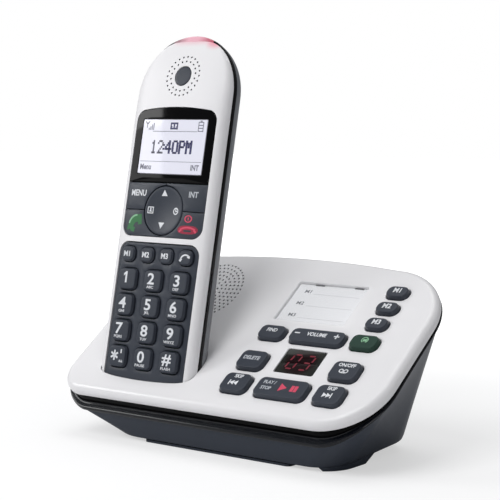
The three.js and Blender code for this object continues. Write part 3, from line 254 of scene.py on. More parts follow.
def moulded_group(name):
    """Moulded plastic: a slow drift of tone, and a fine grain in roughness and height."""
    entries = {"Colour": "Color", "Drift": "Float", "Grain": "Float", "Roughness": "Float", "Spread": "Float"}
    exits = {"Colour": "Color", "Roughness": "Float", "Height": "Float"}
    tree, entry, leave = shader_group(name, entries, exits)
    tone = uneven(tree, noise(tree, DRIFT_SCALE), entry["Drift"], 1.0)
    feed(tree, vector_node(tree, "SCALE", entry["Colour"], tone), leave["Colour"])
    fine = noise(tree, entry["Grain"], 3)
    halves = [math_node(tree, "MULTIPLY", part, 0.5) for part in (fine, noise(tree, SMEAR_SCALE, 4))]
    both = math_node(tree, "ADD", *halves)
    feed(tree, uneven(tree, both, entry["Spread"], entry["Roughness"], clamp=True), leave["Roughness"])
    feed(tree, fine, leave["Height"])
    return tree


def spot_group(name):
    """A soft round mask: 1 near a point and 0 beyond the outer distance."""
    entries = {"Centre": "Vector", "Inner": "Float", "Outer": "Float"}
    tree, entry, leave = shader_group(name, entries, {"Mask": "Float"})
    distance = vector_node(tree, "DISTANCE", object_place(tree), entry["Centre"])
    feed(tree, smooth_step(tree, distance, entry["Outer"], entry["Inner"]), leave["Mask"])
    return tree


def glow_group(name):
    """The colour of a lit face, slightly uneven in brightness."""
    entries = {"Colour": "Color", "Grain": "Float", "Spread": "Float"}
    tree, entry, leave = shader_group(name, entries, {"Colour": "Color"})
    level = uneven(tree, noise(tree, entry["Grain"]), entry["Spread"], 1.0)
    feed(tree, vector_node(tree, "SCALE", entry["Colour"], level), leave["Colour"])
    return tree


SHARED_GROUPS = {"Moulded plastic": moulded_group, "Soft spot": spot_group, "Uneven glow": glow_group}


def shared(tree, name, values):
    """Places a shared group, which is built once, in a material with its own values."""
    node = tree.nodes.new("ShaderNodeGroup")
    node.node_tree = bpy.data.node_groups.get(name) or SHARED_GROUPS[name](name)
    for socket, value in values.items():
        feed(tree, value, node.inputs[socket])
    return node.outputs


def principled(name):
    """A new material, its tree and its Principled shader's inputs."""
    material = bpy.data.materials.new(f"finish_{name}")
    material.use_nodes = True
    return material, material.node_tree, shader_inputs(material)


def shader_inputs(material):
    """Inputs of a material's Principled shader."""
    return material.node_tree.nodes["Principled BSDF"].inputs


def finish(name):
    """A finish by name, once the finishes are made."""
    return bpy.data.materials[f"finish_{name}"]


def moulded(name, colour, roughness, spread, drift, grain, bump, level):
    """A moulded plastic, rubber, ink or metal finish that uses the shared group."""
    _, tree, shader = principled(name)
    values = {"Colour": colour, "Drift": drift, "Grain": grain, "Roughness": roughness, "Spread": spread}
    plastic = shared(tree, "Moulded plastic", values)
    height = tree.nodes.new("ShaderNodeBump")
    height.inputs["Strength"].default_value = bump
    height.inputs["Distance"].default_value = GRAIN_DEPTH
    feed(tree, plastic["Height"], height.inputs["Height"])
    feed(tree, plastic["Colour"], shader["Base Color"])
    feed(tree, plastic["Roughness"], shader["Roughness"])
    feed(tree, height.outputs["Normal"], shader["Normal"])
    shader["Specular IOR Level"].default_value = level


def lit(name, colour, strength, roughness, spread, grain):
    """A finish that glows, with a slightly uneven brightness."""
    moulded(name, colour, roughness, 0.1, 0.05, grain, 0.05, 0.5)
    tree, shader = finish(name).node_tree, shader_inputs(finish(name))
    glow = shared(tree, "Uneven glow", {"Colour": colour, "Grain": grain, "Spread": spread})
    feed(tree, glow["Colour"], shader["Emission Color"])
    shader["Emission Strength"].default_value = strength


def tinted_near(name, colour, space, point, inner, outer, strength, depth):
    """Lays a soft tint on a finish round a point in a local space.
    With a depth, it fades out over that distance in front of the point."""
    tree, shader = finish(name).node_tree, shader_inputs(finish(name))
    source = shader["Base Color"].links[0].from_socket
    centre = TO_METRES @ space @ Vector(point)
    spot = shared(tree, "Soft spot", {"Centre": centre, "Inner": inner * MM, "Outer": outer * MM})
    share = math_node(tree, "MULTIPLY", spot["Mask"], strength)
    if depth:
        out = facing(space)
        level = vector_node(tree, "DOT_PRODUCT", object_place(tree), out)
        bare, full = (centre.dot(out) + depth * MM * part for part in (1, 0.2))
        share = math_node(tree, "MULTIPLY", share, smooth_step(tree, level, bare, full))
    mix = tree.nodes.new("ShaderNodeMix")
    mix.data_type = "RGBA"
    feed(tree, share, mix.inputs["Factor"])
    feed(tree, source, mix.inputs["A"])
    feed(tree, colour, mix.inputs["B"])
    feed(tree, mix.outputs["Result"], shader["Base Color"])


# Meshes. Seams closer than the weld, in metres, are joined, and faces this near a direction look that way.

WELD, FINE_WELD, FACES_OUT, FOLLOWS_FORM = 0.0000012, 0.0000002, 0.93, 0.8


def facing(space):
    """The direction that a local space faces."""
    return (space.to_3x3() @ Vector((0, 0, 1))).normalized()


def put(name, data):
    """An object at the origin that holds some data."""
    thing = bpy.data.objects.new(name, data)
    bpy.context.scene.collection.objects.link(thing)
    return thing


def plain_mesh(thing):
    """The final mesh of letters or of an object with modifiers, which is then removed."""
    mesh = bpy.data.meshes.new_from_object(thing.evaluated_get(bpy.context.evaluated_depsgraph_get()))
    bpy.data.objects.remove(thing)
    return mesh


def mesh_points(mesh):
    """The points of a mesh as rows."""
    return np.array([tuple(v.co) for v in mesh.vertices])


def settle(mesh, space, weld=WELD):
    """Puts a mesh of millimetres in its place in metres, joins its seams and turns its faces outward."""
    mesh.transform(TO_METRES @ space)
    work = bmesh.new()
    work.from_mesh(mesh)
    bmesh.ops.remove_doubles(work, verts=work.verts, dist=weld)
    bmesh.ops.dissolve_degenerate(work, edges=work.edges, dist=weld)
    bmesh.ops.recalc_face_normals(work, faces=work.faces)
    work.to_mesh(mesh)
    work.free()


def add_piece(name, mesh, material, body, replaces=None, angle=32):
    """A finished piece that rides on a CAD body."""
    mesh.name = name
    piece = put(name, mesh)
    mesh.materials.clear()
    mesh.materials.append(finish(material))
    mesh.shade_smooth()
    mesh.set_sharp_from_angle(angle=math.radians(angle))
    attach(piece, body)
    if replaces:
        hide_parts(replaces)
    return piece


def levelled(piece, space, share):
    """Shades the faces that look out of a local space more like one flat sheet."""
    mesh, out = piece.data, facing(space)
    normals = [Vector(corner.vector) for corner in mesh.corner_normals]
    for polygon in mesh.polygons:
        if polygon.normal.dot(out) > FACES_OUT:
            for corner in polygon.loop_indices:
                normals[corner] = polygon.normal.lerp(out, share).normalized()
    mesh.normals_split_custom_set(normals)


class Build:
    """Collects the millimetre points and the faces of one closed piece."""

    def __init__(self):
        self.points = []
        self.faces = []

    def add(self, points, faces):
        """Points and the faces between them."""
        first = len(self.points)
        self.points.extend(tuple(map(float, p)) for p in points)
        self.faces.extend(tuple(first + int(k) for k in face) for face in faces)

    def strip(self, rings, loop=False):
        """Quads between rings of equal point count, and in a loop from the last ring to the first."""
        count = len(rings[0])
        faces = []
        for r in range(len(rings) if loop else len(rings) - 1):
            here, above = r * count, (r + 1) % len(rings) * count
            for k in range(count):
                following = (k + 1) % count
                faces.append((here + k, here + following, above + following, above + k))
        self.add(np.concatenate(rings), faces)

    def loft(self, rings):
        """A stack of rings, closed by a face at each end."""
        self.strip(rings)
        for ring in (rings[0], rings[-1]):
            self.add(ring, [range(len(ring))])

    def mesh(self, space):
        """The piece as a mesh in metres."""
        mesh = bpy.data.meshes.new("build")
        mesh.from_pydata(self.points, [], self.faces)
        settle(mesh, space)
        return mesh


def lofted(rings, space):
    """A closed stack of rings as a mesh."""
    build = Build()
    build.loft(rings)
    return build.mesh(space)


def near_front(y, fall):
    """1 at the front edge, falling off to the rear."""
    return np.exp(-np.maximum(y, 0) / fall)


def lifted(loop, height):
    """A flat loop at a height, which may be a number or a function of x and y."""
    z = height(loop[:, 0], loop[:, 1]) if callable(height) else np.full(len(loop), float(height))
    return np.column_stack([loop[:, 0], loop[:, 1], z])


def moved(points, matrix):
    """Points carried by a matrix."""
    return (np.column_stack([points, np.ones(len(points))]) @ np.array(matrix).T)[:, :3]


def bend(x, y, radius, quarter, steps):
    """Points on a quarter of a circle, counter-clockwise. Quarter 0 is the one at the upper right."""
    angles = [(quarter + step / steps) * QUARTER for step in range(steps + 1)]
    return [(x + radius * math.cos(angle), y + radius * math.sin(angle)) for angle in angles]


def rounded(width, height, corner, x=0.0, y=0.0):
    """A rounded rectangle, counter-clockwise."""
    points = []
    for quarter, (sx, sy) in enumerate(((1, 1), (-1, 1), (-1, -1), (1, -1))):
        points += bend(x + sx * (width / 2 - corner), y + sy * (height / 2 - corner), corner, quarter, 6)
    return np.array(points)


def key_hole(x, y, width, height, corner):
    """The hole round a key."""
    return rounded(width + 2 * KEY_GAP, height + 2 * KEY_GAP, corner + KEY_GAP, x, y)


def circle(radius, x=0.0, y=0.0, steps=48, first=0.0):
    """Points on a circle, counter-clockwise. The first one is moved on by a share of a step."""
    angles = (np.arange(steps) + first) / steps * 4 * QUARTER
    return np.column_stack([x + radius * np.cos(angles), y + radius * np.sin(angles)])


def grown(loop, distance):
    """A counter-clockwise loop moved outward by a distance."""
    before = loop - np.roll(loop, 1, axis=0)
    after = np.roll(loop, -1, axis=0) - loop
    before /= np.maximum(np.linalg.norm(before, axis=1, keepdims=True), 1e-9)
    after /= np.maximum(np.linalg.norm(after, axis=1, keepdims=True), 1e-9)
    first = np.column_stack([before[:, 1], -before[:, 0]])
    second = np.column_stack([after[:, 1], -after[:, 0]])
    middle = first + second
    middle /= np.maximum(np.linalg.norm(middle, axis=1, keepdims=True), 1e-9)
    return loop + middle * distance / np.maximum((middle * first).sum(1, keepdims=True), 0.4)


def inside(loop, points):
    """Which points lie in a loop."""
    result = np.zeros(len(points), bool)
    near = (points >= loop.min(0)).all(1) & (points <= loop.max(0)).all(1)
    where = np.nonzero(near)[0]
    if not len(where):
        return result
    x, y = points[where, 0], points[where, 1]
    hit = np.zeros(len(where), bool)
    for (x0, y0), (x1, y1) in zip(loop, np.roll(loop, -1, axis=0)):
        if y0 == y1:
            continue
        crosses = ((y0 > y) != (y1 > y)) & (x < (x1 - x0) * (y - y0) / (y1 - y0) + x0)
        hit ^= crosses
    result[where] = hit
    return result


def fill(outer, holes=(), extra=None):
    """Triangles over a flat region with holes, and with extra points inside it, as points and faces."""
    points, edges = [], []
    for loop in (outer, *holes):
        first, count = len(points), len(loop)
        points += [Vector(p) for p in loop]
        edges += [(first + k, first + (k + 1) % count) for k in range(count)]
    if extra is not None:
        margin = 0.25
        keep = inside(grown(outer, -margin), extra)
        for hole in holes:
            keep &= ~inside(grown(hole, margin), extra)
        points += [Vector(p) for p in extra[keep]]
    flat, _, faces = delaunay_2d_cdt(points, edges, [], 0, 1e-5)[:3]
    flat, faces = np.array([tuple(p) for p in flat]), np.array(faces)
    middles = flat[faces].mean(1)
    keep = inside(outer, middles)
    for hole in holes:
        keep &= ~inside(hole, middles)
    return flat, faces[keep]


def net(low, high, pitch):
    """Staggered points over a box."""
    rows = np.arange(low[1], high[1], pitch * 0.866)
    columns = np.arange(low[0], high[0], pitch)
    points = [(x + (k % 2) * pitch / 2, y) for k, y in enumerate(rows) for x in columns]
    return np.array(points)


def rim_rings(loop, top, size, outward, steps=3):
    """Rings of a rounded rim, from the flat top down to the wall.
    Outward is 1 for an outer edge and -1 for a hole."""
    rings = []
    for step in range(steps + 1):
        angle = step / steps * QUARTER
        ring = lifted(grown(loop, -outward * size * (1 - math.sin(angle))), top)
        ring[:, 2] -= size * (1 - math.cos(angle))
        rings.append(ring)
    return rings


def plate(outer, top, bottom, rim, holes=(), hole_rim=0.3, pitch=None):
    """A closed plate with rounded rims on a flat bottom. Its top is a number or a function."""
    build = Build()
    extra = net(outer.min(0), outer.max(0), pitch) if pitch else None
    flat, faces = fill(grown(outer, -rim), [grown(hole, hole_rim) for hole in holes], extra)
    build.add(lifted(flat, top), faces)
    flat, faces = fill(outer, holes)
    build.add(lifted(flat, bottom), faces)
    build.strip([*rim_rings(outer, top, rim, 1), lifted(outer, bottom)])
    for hole in holes:
        build.strip([*rim_rings(hole, top, hole_rim, -1, 2), lifted(hole, bottom)])
    return build


# Signs


def text_mesh(words, size, width=1.0, bold=0.022):
    """Letters as a flat mesh with a unit thickness, centred on the origin. Bold is a share of the size."""
    curve = bpy.data.curves.new("letters", "FONT")
    curve.body = words
    curve.size = size
    curve.offset = bold * size
    curve.extrude = 0.5
    curve.resolution_u = 3
    mesh = plain_mesh(put("letters", curve))
    mesh.transform(Matrix.Diagonal((width, 1, 1, 1)))
    points = mesh_points(mesh)
    x, y, _ = (points.min(0) + points.max(0)) / 2
    mesh.transform(Matrix.Translation((-x, -y, 0)))
    return mesh


def placed(shape, turn, x, y):
    """A shape turned by degrees about the origin and then moved."""
    angle = math.radians(turn)
    spin = np.array([(math.cos(angle), math.sin(angle)), (-math.sin(angle), math.cos(angle))])
    return shape @ spin + (x, y)


def arc_shape(radius, width, start, end, x=0.0, y=0.0, steps=18):
    """An open arc of some width, as a closed outline. Angles are in degrees."""
    angles = np.radians(np.linspace(start, end, steps))
    rays = np.column_stack([np.cos(angles), np.sin(angles)])
    return np.concatenate([rays * (radius + width / 2), rays[::-1] * (radius - width / 2)]) + (x, y)


def ring_shape(radius, width, x, y, start=0.0, end=359.0):
    """A ring with a hairline break, as a closed outline."""
    return arc_shape(radius, width, start, end, x, y, 28)


def box_shape(width, height, x=0.0, y=0.0, turn=0.0):
    """A rectangle as a closed outline."""
    return placed(np.array([(-1, -1), (1, -1), (1, 1), (-1, 1)]) * (width / 2, height / 2), turn, x, y)


def pair(width, height, x, y, apart, upright=False, turn=0.0):
    """Two rectangles on either side of a point, side by side or one above the other."""
    shapes = []
    for side in (-1, 1):
        across, up = (0, side * apart) if upright else (side * apart, 0)
        shapes.append(box_shape(width, height, x + across, y + up, side * turn))
    return shapes


def triangle_shape(size, x, y, turn):
    """A triangle that points to the right before it is turned."""
    return placed(np.array([(-0.5, -0.6), (0.5, 0), (-0.5, 0.6)]) * size, turn, x, y)


def numeral_one(height, stroke, x, y):
    """The number 1 with its flag."""
    top, flag = height / 2, height * 0.24
    outline = [
        (stroke / 2, -top), (stroke / 2, top), (-stroke * 0.35, top), (-stroke * 1.55, flag + stroke * 0.3),
        (-stroke * 1.55, flag - stroke * 0.75), (-stroke / 2, flag), (-stroke / 2, -top),
    ]
    return np.array(outline) + (x, y)


def receiver_shape(size, x, y, turn, grip_width, end_width):
    """A telephone receiver: a bent grip with two wider ends."""
    shapes = [arc_shape(0.62, grip_width, 30, 150, 0, -0.42), *pair(0.34, end_width, 0, -0.12, 0.5, turn=-34)]
    return [placed(shape * size, turn, x, y) for shape in shapes]


def signs(name, letters, shapes, surface, space, material, body, thickness=THIN_PRINT):
    """Printed letters and outlines laid on a surface, as one piece.
    Letters are (words, size, x, y, options) and shapes are closed outlines."""
    work = bmesh.new()
    for words, size, x, y, options in letters:
        mesh = text_mesh(words, size, **options)
        mesh.transform(Matrix.Translation((x, y, 0)))
        work.from_mesh(mesh)
        bpy.data.meshes.remove(mesh)
    for shape in shapes:
        lower, upper = ([work.verts.new((*p, z)) for p in shape] for z in (-0.5, 0.5))
        work.faces.new(upper)
        work.faces.new(lower[::-1])
        for k in range(len(shape)):
            following = (k + 1) % len(shape)
            work.faces.new((lower[k], lower[following], upper[following], upper[k]))
    work.normal_update()
    bmesh.ops.triangulate(work, faces=[f for f in work.faces if len(f.verts) > 4])
    mesh = bpy.data.meshes.new(name)
    work.to_mesh(mesh)
    work.free()
    points = mesh_points(mesh)
    heights = lifted(points[:, :2], surface)[:, 2] + thickness * (points[:, 2] + 0.45)
    for vertex, height in zip(mesh.vertices, heights):
        vertex.co.z = height
    settle(mesh, space, FINE_WELD)
    return add_piece(name, mesh, material, body)


# Outlines of the base


def walk(half, front, rear, left, right, back, inset=0.0, flare=0.0):
    """Points round an outline with a bowed rear and a corner radius at the left, right and back.
    They are x, y, and y on the outline before it was set in."""
    steps, side_steps, bow_steps = 18, 10, 16
    points = []

    def corner(x, y, radius, quarter):
        for step in range(steps + 1):
            angle = (quarter + step / steps) * QUARTER
            full = y + (radius + inset) * math.sin(angle)
            reach = radius + flare * float(near_front(full, LIP_FALL))
            points.append((x + reach * math.cos(angle), y + reach * math.sin(angle), full))

    def side(way, start, end):
        for step in range(1, side_steps):
            y = start + (end - start) * step / side_steps
            points.append((way * (half + flare * float(near_front(y, LIP_FALL))), y, y))

    corner(half - back, rear - back, back, 0)
    for step in range(1, bow_steps):
        share = 1 - 2 * step / bow_steps
        bowed = rear + REAR_BOW * (1 - share**2)
        points.append(((half - back) * share, bowed, bowed + inset))
    corner(-half + back, rear - back, back, 1)
    side(-1, rear - back, front + left)
    corner(-half + left, front + left, left, 2)
    corner(half - right, front + right, right, 3)
    side(1, front + right, rear - back)
    return np.array(points)


def outline(inset=0.0, flare=0.0):
    """The outline of the panel."""
    corners = [radius - inset for radius in (LEFT_CORNER, RIGHT_CORNER, REAR_CORNER)]
    return walk(HALF_WIDTH - inset, inset, PANEL_LENGTH - REAR_BOW - inset, *corners, inset, flare)


def outline_ring(inset, depth, flare=0.0):
    """The outline at a depth below the panel, which may depend on the place along it."""
    points = outline(inset, flare)
    fall = depth(points[:, 2]) if callable(depth) else np.full(len(points), float(depth))
    return np.column_stack([points[:, :2], -fall])


def bottom_at(y):
    """Height of the sloping bottom."""
    return BOTTOM_LOW + BOTTOM_SLOPE * (y - FOOT_FRONT)


def footprint(inset=0.0, lift=0.0):
    """The outline of the sloping bottom, with the same points as the outline of the panel."""
    corners = [radius - inset for radius in (FOOT_LEFT, FOOT_RIGHT, FOOT_BACK)]
    points = walk(FOOT_HALF - inset, FOOT_FRONT + inset, FOOT_REAR - inset, *corners)[:, :2]
    return np.column_stack([points, bottom_at(points[:, 1]) + lift])


def band_depth(share):
    """Depth of a share of the trim band's height."""
    return lambda y: BAND_TOP + share * (BAND_REAR + (BAND_FRONT - BAND_REAR) * near_front(y, BAND_FALL))


def housing_top(y):
    """Depth of the housing's upper edge."""
    return band_depth(1)(y) + GAP


def dish(x, y):
    """Height of the cover's top, with the soft hollow round the handset."""
    sphere = (DISH_RADIUS**2 + DISH_DEPTH**2) / (2 * DISH_DEPTH)
    radius = np.minimum(np.hypot(x - DISH_CENTRE[0], y - DISH_CENTRE[1]), 60)
    rise = sphere - np.sqrt(sphere**2 - radius**2) - DISH_DEPTH
    overlap = np.maximum(DISH_SOFT - np.abs(rise), 0) / DISH_SOFT
    return np.minimum(rise, 0) - overlap**2 * DISH_SOFT / 4


# Form of the handset


def end_share(distance, reach, power):
    """How far a rounded end has opened at a distance from its tip."""
    clipped = np.clip(1 - distance / reach, 0, 1)
    return np.where(distance >= reach, 1.0, np.maximum(1 - clipped**power, 0) ** (1 / power))


def section(station):
    """Half width, front height and back depth of the handset at a station along it."""
    station = np.asarray(station, float)
    top = LENGTH - station
    along = np.clip((station - HEAD_START) / (LENGTH - HEAD_START), 0, 1)
    head = np.maximum(1 - along**OVAL, 0) ** HEAD_FALL
    half = WIDTH / 2 * end_share(station, TIP_SIDE, OVAL) * end_share(top, DOME, 2)
    front = SEAM * end_share(station, TIP_FRONT, 2) * head
    back = BACK * end_share(station, TIP_BACK, OVAL) * end_share(top, DOME, OVAL)
    return half, front, back


def face(sink=0.0):
    """Height of the handset's front, sunk by a distance, as a function of x and y."""

    def height(x, y):
        wide, tall, long = 1 - sink / (WIDTH / 2), 1 - sink / SEAM, 1 - 2 * sink / LENGTH
        half, front, _ = section((y - sink) / long)
        across = np.clip(np.abs(x) / np.maximum(half * wide, 1e-6), 0, 1)
        return front * tall * (1 - across**FRONT_POWER) ** (1 / FRONT_POWER) - SEAM

    return height


def quarter_section(power, height, count):
    """Evenly spread points over a quarter of a section, as shares of its half width and height."""
    angle = np.linspace(0, QUARTER, 2000)
    x = np.cos(angle) ** (2 / power)
    z = np.sin(angle) ** (2 / power)
    steps = np.hypot(np.diff(x) * WIDTH / 2, np.diff(z) * height)
    along = np.concatenate([[0], np.cumsum(steps)])
    wanted = np.linspace(0, along[-1], count)
    return np.column_stack([np.interp(wanted, along, x), np.interp(wanted, along, z)])


def form_profile(count):
    """Points round a section, as shares of its half width and height, and which of them are in front."""
    front = quarter_section(FRONT_POWER, SEAM * 2, count)
    back = quarter_section(BACK_POWER, BACK, count)
    quarters = [front, front[::-1][1:] * (-1, 1), back[1:] * (-1, -1), back[::-1][1:-1] * (1, -1)]
    shares = np.concatenate(quarters)
    return shares, np.arange(len(shares)) < 2 * count - 1


def form_points(profile, station, place, grow):
    """A profile at a station and its place along the form, which has grown by a distance.
    Station and place are one number, or one for each point."""
    shares, in_front = profile
    wide, long = 1 + grow / (WIDTH / 2), 1 + 2 * grow / LENGTH
    half, ahead, behind = section(station)
    tall = np.where(in_front, ahead * (1 + grow / SEAM), behind * (1 + grow / BACK))
    along = np.broadcast_to(place * long - grow, len(shares))
    return np.column_stack([shares[:, 0] * half * wide, along, shares[:, 1] * tall - SEAM])


def end_steps(reach, count):
    """Distances from a rounded end, close together at its tip."""
    return [reach * (1 - math.cos((0.03 + 0.97 * k / count) * QUARTER)) for k in range(count + 1)]


def stations():
    """Stations along the handset, close together at its ends."""
    body = np.linspace(TIP_SIDE, HEAD_START, 20)[1:]
    head = np.linspace(HEAD_START, LENGTH - DOME, 8)[1:-1]
    dome = [LENGTH - distance for distance in end_steps(DOME, 20)[::-1]]
    return np.array([*end_steps(TIP_SIDE, 12), *body, *head, *dome])


def seated(station):
    """Places of stations, drawn in a little at both ends so that the form stays within its length."""
    low_seat, high_seat = 0.29, 0.56
    low = np.clip(1 - station / TIP_SIDE, 0, 1) ** 4 * low_seat
    high = np.clip((station - LENGTH + DOME) / DOME, 0, 1) ** 4 * high_seat
    return station + low - high


def envelope(grow=0.0, count=16):
    """The handset's outer form grown by a distance, as a closed mesh."""
    profile = form_profile(count)
    rings = [form_points(profile, station, float(seated(station)), grow) for station in stations()]
    return lofted(rings, HANDSET)


def form_normals(points):
    """Outward directions and closeness of points in handset space to the handset's form."""
    table = np.linspace(0, LENGTH, 4000)
    places = seated(table)

    def measure(p):
        station = np.interp(p[:, 1], places, table)
        half, ahead, behind = section(station)
        z = p[:, 2] + SEAM
        is_front = z >= 0
        height = np.where(is_front, ahead, behind)
        power = np.where(is_front, FRONT_POWER, BACK_POWER)
        across = np.abs(p[:, 0]) / np.maximum(half, 1e-3)
        return across**power + (np.abs(z) / np.maximum(height, 1e-3)) ** power

    step = 0.02
    slopes = []
    for axis in range(3):
        shift = np.zeros(3)
        shift[axis] = step
        slopes.append((measure(points + shift) - measure(points - shift)) / (2 * step))
    slopes = np.column_stack(slopes)
    size = np.linalg.norm(slopes, axis=1)
    distance = (measure(points) - 1) / np.maximum(size, 1e-9)
    return slopes / np.maximum(size, 1e-9)[:, None], distance


def smooth_form(mesh, tolerance=SHELL_TOLERANCE):
    """Gives the faces that lie on the handset's form its own even shading."""
    points = moved(mesh_points(mesh), (TO_METRES @ HANDSET).inverted())
    outward, distance = form_normals(points)
    outward = outward @ np.array(HANDSET.to_3x3()).T
    normals = []
    for polygon in mesh.polygons:
        corners = list(polygon.vertices)
        flat = np.array(polygon.normal)
        on_form = all(abs(distance[k]) < tolerance and outward[k] @ flat > FOLLOWS_FORM for k in corners)
        normals += [tuple(outward[k]) if on_form else (0.0, 0.0, 0.0) for k in corners]
    mesh.normals_split_custom_set(normals)


def cut(mesh, others, operation="DIFFERENCE"):
    """The mesh after one boolean with each of the others."""
    holder = put("cut", mesh)
    tools = [put("tool", other) for other in others]
    for tool in tools:
        modifier = holder.modifiers.new("cut", "BOOLEAN")
        modifier.solver = "MANIFOLD"
        modifier.operation = operation
        modifier.object = tool
    result = plain_mesh(holder)
    for tool in tools:
        bpy.data.objects.remove(tool)
    return result


def prism(loop, low, high, space):
    """A loop raised between two heights, used to cut others."""
    return lofted([lifted(loop, low), lifted(loop, high)], space)


def block(low, high, space):
    """A box between two corners, used to cut others."""
    loop = np.array([(low[0], low[1]), (high[0], low[1]), (high[0], high[1]), (low[0], high[1])])
    return prism(loop, low[2], high[2], space)


# Geometry Nodes


def node_tree(name, sizes):
    """A geometry tree with named number inputs and a material input, and the sockets of its entry."""
    tree = bpy.data.node_groups.new(name, "GeometryNodeTree")
    tree.is_modifier = True
    tree.interface.new_socket(name="Geometry", in_out="INPUT", socket_type="NodeSocketGeometry")
    for size in sizes:
        tree.interface.new_socket(name=size, in_out="INPUT", socket_type="NodeSocketFloat")
    tree.interface.new_socket(name="Material", in_out="INPUT", socket_type="NodeSocketMaterial")
    tree.interface.new_socket(name="Geometry", in_out="OUTPUT", socket_type="NodeSocketGeometry")
    return tree, tree.nodes.new("NodeGroupInput").outputs


def close_tree(tree, entry, points, shape):
    """Puts a shape on points, and ends the tree in Realize Instances and Set Material."""
    copies = tree.nodes.new("GeometryNodeInstanceOnPoints")
    feed(tree, points, copies.inputs["Points"])
    feed(tree, shape, copies.inputs["Instance"])
    realize = tree.nodes.new("GeometryNodeRealizeInstances")
    feed(tree, copies.outputs[0], realize.inputs[0])
    paint = tree.nodes.new("GeometryNodeSetMaterial")
    feed(tree, realize.outputs[0], paint.inputs["Geometry"])
    feed(tree, entry["Material"], paint.inputs["Material"])
    feed(tree, paint.outputs[0], tree.nodes.new("NodeGroupOutput").inputs["Geometry"])
    return tree


def grown_from(tree, values, material, points=()):
    """The plain mesh that a tree grows in millimetres, from loose points if it needs them."""
    seed = bpy.data.meshes.new("seed")
    seed.from_pydata([tuple(map(float, p)) for p in points], [], [])
    holder = put("seed", seed)
    modifier = holder.modifiers.new("grow", "NODES")
    modifier.node_group = tree
    for item in tree.interface.items_tree:
        if item.in_out == "INPUT" and item.name in values:
            modifier[item.identifier] = float(values[item.name])
        elif item.in_out == "INPUT" and item.name == "Material":
            modifier[item.identifier] = finish(material)
    return plain_mesh(holder)


def size_node(tree, **sides):
    """A vector whose named sides come from sockets."""
    size = tree.nodes.new("ShaderNodeCombineXYZ")
    for axis, source in sides.items():
        feed(tree, source, size.inputs[axis])
    return size.outputs[0]


def box_node(tree, x, y, z):
    """A box whose sides come from sockets."""
    box = tree.nodes.new("GeometryNodeMeshCube")
    feed(tree, size_node(tree, X=x, Y=y, Z=z), box.inputs["Size"])
    return box.outputs["Mesh"]


def sleeves_tree():
    """A short thin tube on every given point."""
    tree, entry = node_tree("Sleeves", ("Radius", "Wall", "Depth"))
    ring = tree.nodes.new("GeometryNodeCurvePrimitiveCircle")
    ring.inputs["Resolution"].default_value = 10
    feed(tree, entry["Radius"], ring.inputs["Radius"])
    profile = tree.nodes.new("GeometryNodeCurvePrimitiveQuadrilateral")
    feed(tree, entry["Wall"], profile.inputs["Width"])
    feed(tree, entry["Depth"], profile.inputs["Height"])
    sweep = tree.nodes.new("GeometryNodeCurveToMesh")
    feed(tree, ring.outputs[0], sweep.inputs["Curve"])
    feed(tree, profile.outputs[0], sweep.inputs["Profile Curve"])
    return close_tree(tree, entry, entry["Geometry"], sweep.outputs[0])


def screws_tree():
    """A pan-head screw with a cross slot on every given point."""
    tree, entry = node_tree("Screws", ("Radius", "Thickness", "Slot"))
    head = tree.nodes.new("GeometryNodeMeshCylinder")
    head.inputs["Vertices"].default_value = 32
    feed(tree, entry["Radius"], head.inputs["Radius"])
    feed(tree, entry["Thickness"], head.inputs["Depth"])
    long = math_node(tree, "MULTIPLY", entry["Radius"], 1.2)
    join = tree.nodes.new("GeometryNodeJoinGeometry")
    for wide, tall in ((long, entry["Slot"]), (entry["Slot"], long)):
        feed(tree, box_node(tree, wide, tall, entry["Thickness"]), join.inputs[0])
    lift = tree.nodes.new("GeometryNodeTransform")
    feed(tree, join.outputs[0], lift.inputs["Geometry"])
    rise = math_node(tree, "MULTIPLY", entry["Thickness"], 0.6)
    feed(tree, size_node(tree, Z=rise), lift.inputs["Translation"])
    slot = tree.nodes.new("GeometryNodeMeshBoolean")
    slot.operation = "DIFFERENCE"
    feed(tree, head.outputs["Mesh"], slot.inputs["Mesh 1"])
    feed(tree, lift.outputs[0], slot.inputs["Mesh 2"])
    return close_tree(tree, entry, entry["Geometry"], slot.outputs["Mesh"])


def bars_tree():
    """A row of straight bars, for slots and ribs."""
    tree, entry = node_tree("Bars", ("Count", "Pitch", "Length", "Width", "Depth"))
    line = tree.nodes.new("GeometryNodeMeshLine")
    feed(tree, entry["Count"], line.inputs["Count"])
    feed(tree, size_node(tree, Y=entry["Pitch"]), line.inputs["Offset"])
    bar = box_node(tree, entry["Length"], entry["Width"], entry["Depth"])
    return close_tree(tree, entry, line.outputs[0], bar)


def cells_tree():
    """A square dot on every given point, as a display draws its letters."""
    tree, entry = node_tree("Cells", ("Width", "Height", "Depth"))
    dot = box_node(tree, entry["Width"], entry["Height"], entry["Depth"])
    return close_tree(tree, entry, entry["Geometry"], dot)


def bars(count, pitch, length, width, depth, space, place, material):
    """A row of bars set at a place in a local space."""
    sizes = {"Count": count, "Pitch": pitch, "Length": length, "Width": width, "Depth": depth}
    mesh = grown_from(bars_tree(), sizes, material)
    mesh.transform(TO_METRES @ space @ Matrix.Translation(place))
    return mesh


def shade_sleeves(name, radius, depth, points, drop, surface, space, body):
    """Dark tubes a drop below a surface in a field of holes, which paint the shade inside the holes."""
    sizes = {"Radius": radius, "Wall": SLEEVE_WALL, "Depth": depth}
    mesh = grown_from(sleeves_tree(), sizes, "dark_plastic", [(x, y, -drop) for x, y in points])
    rows = mesh_points(mesh)
    for vertex, height in zip(mesh.vertices, surface(rows[:, 0], rows[:, 1])):
        vertex.co.z += height
    settle(mesh, space)
    add_piece(name, mesh, "dark_plastic", body, None)


# Pieces of the base


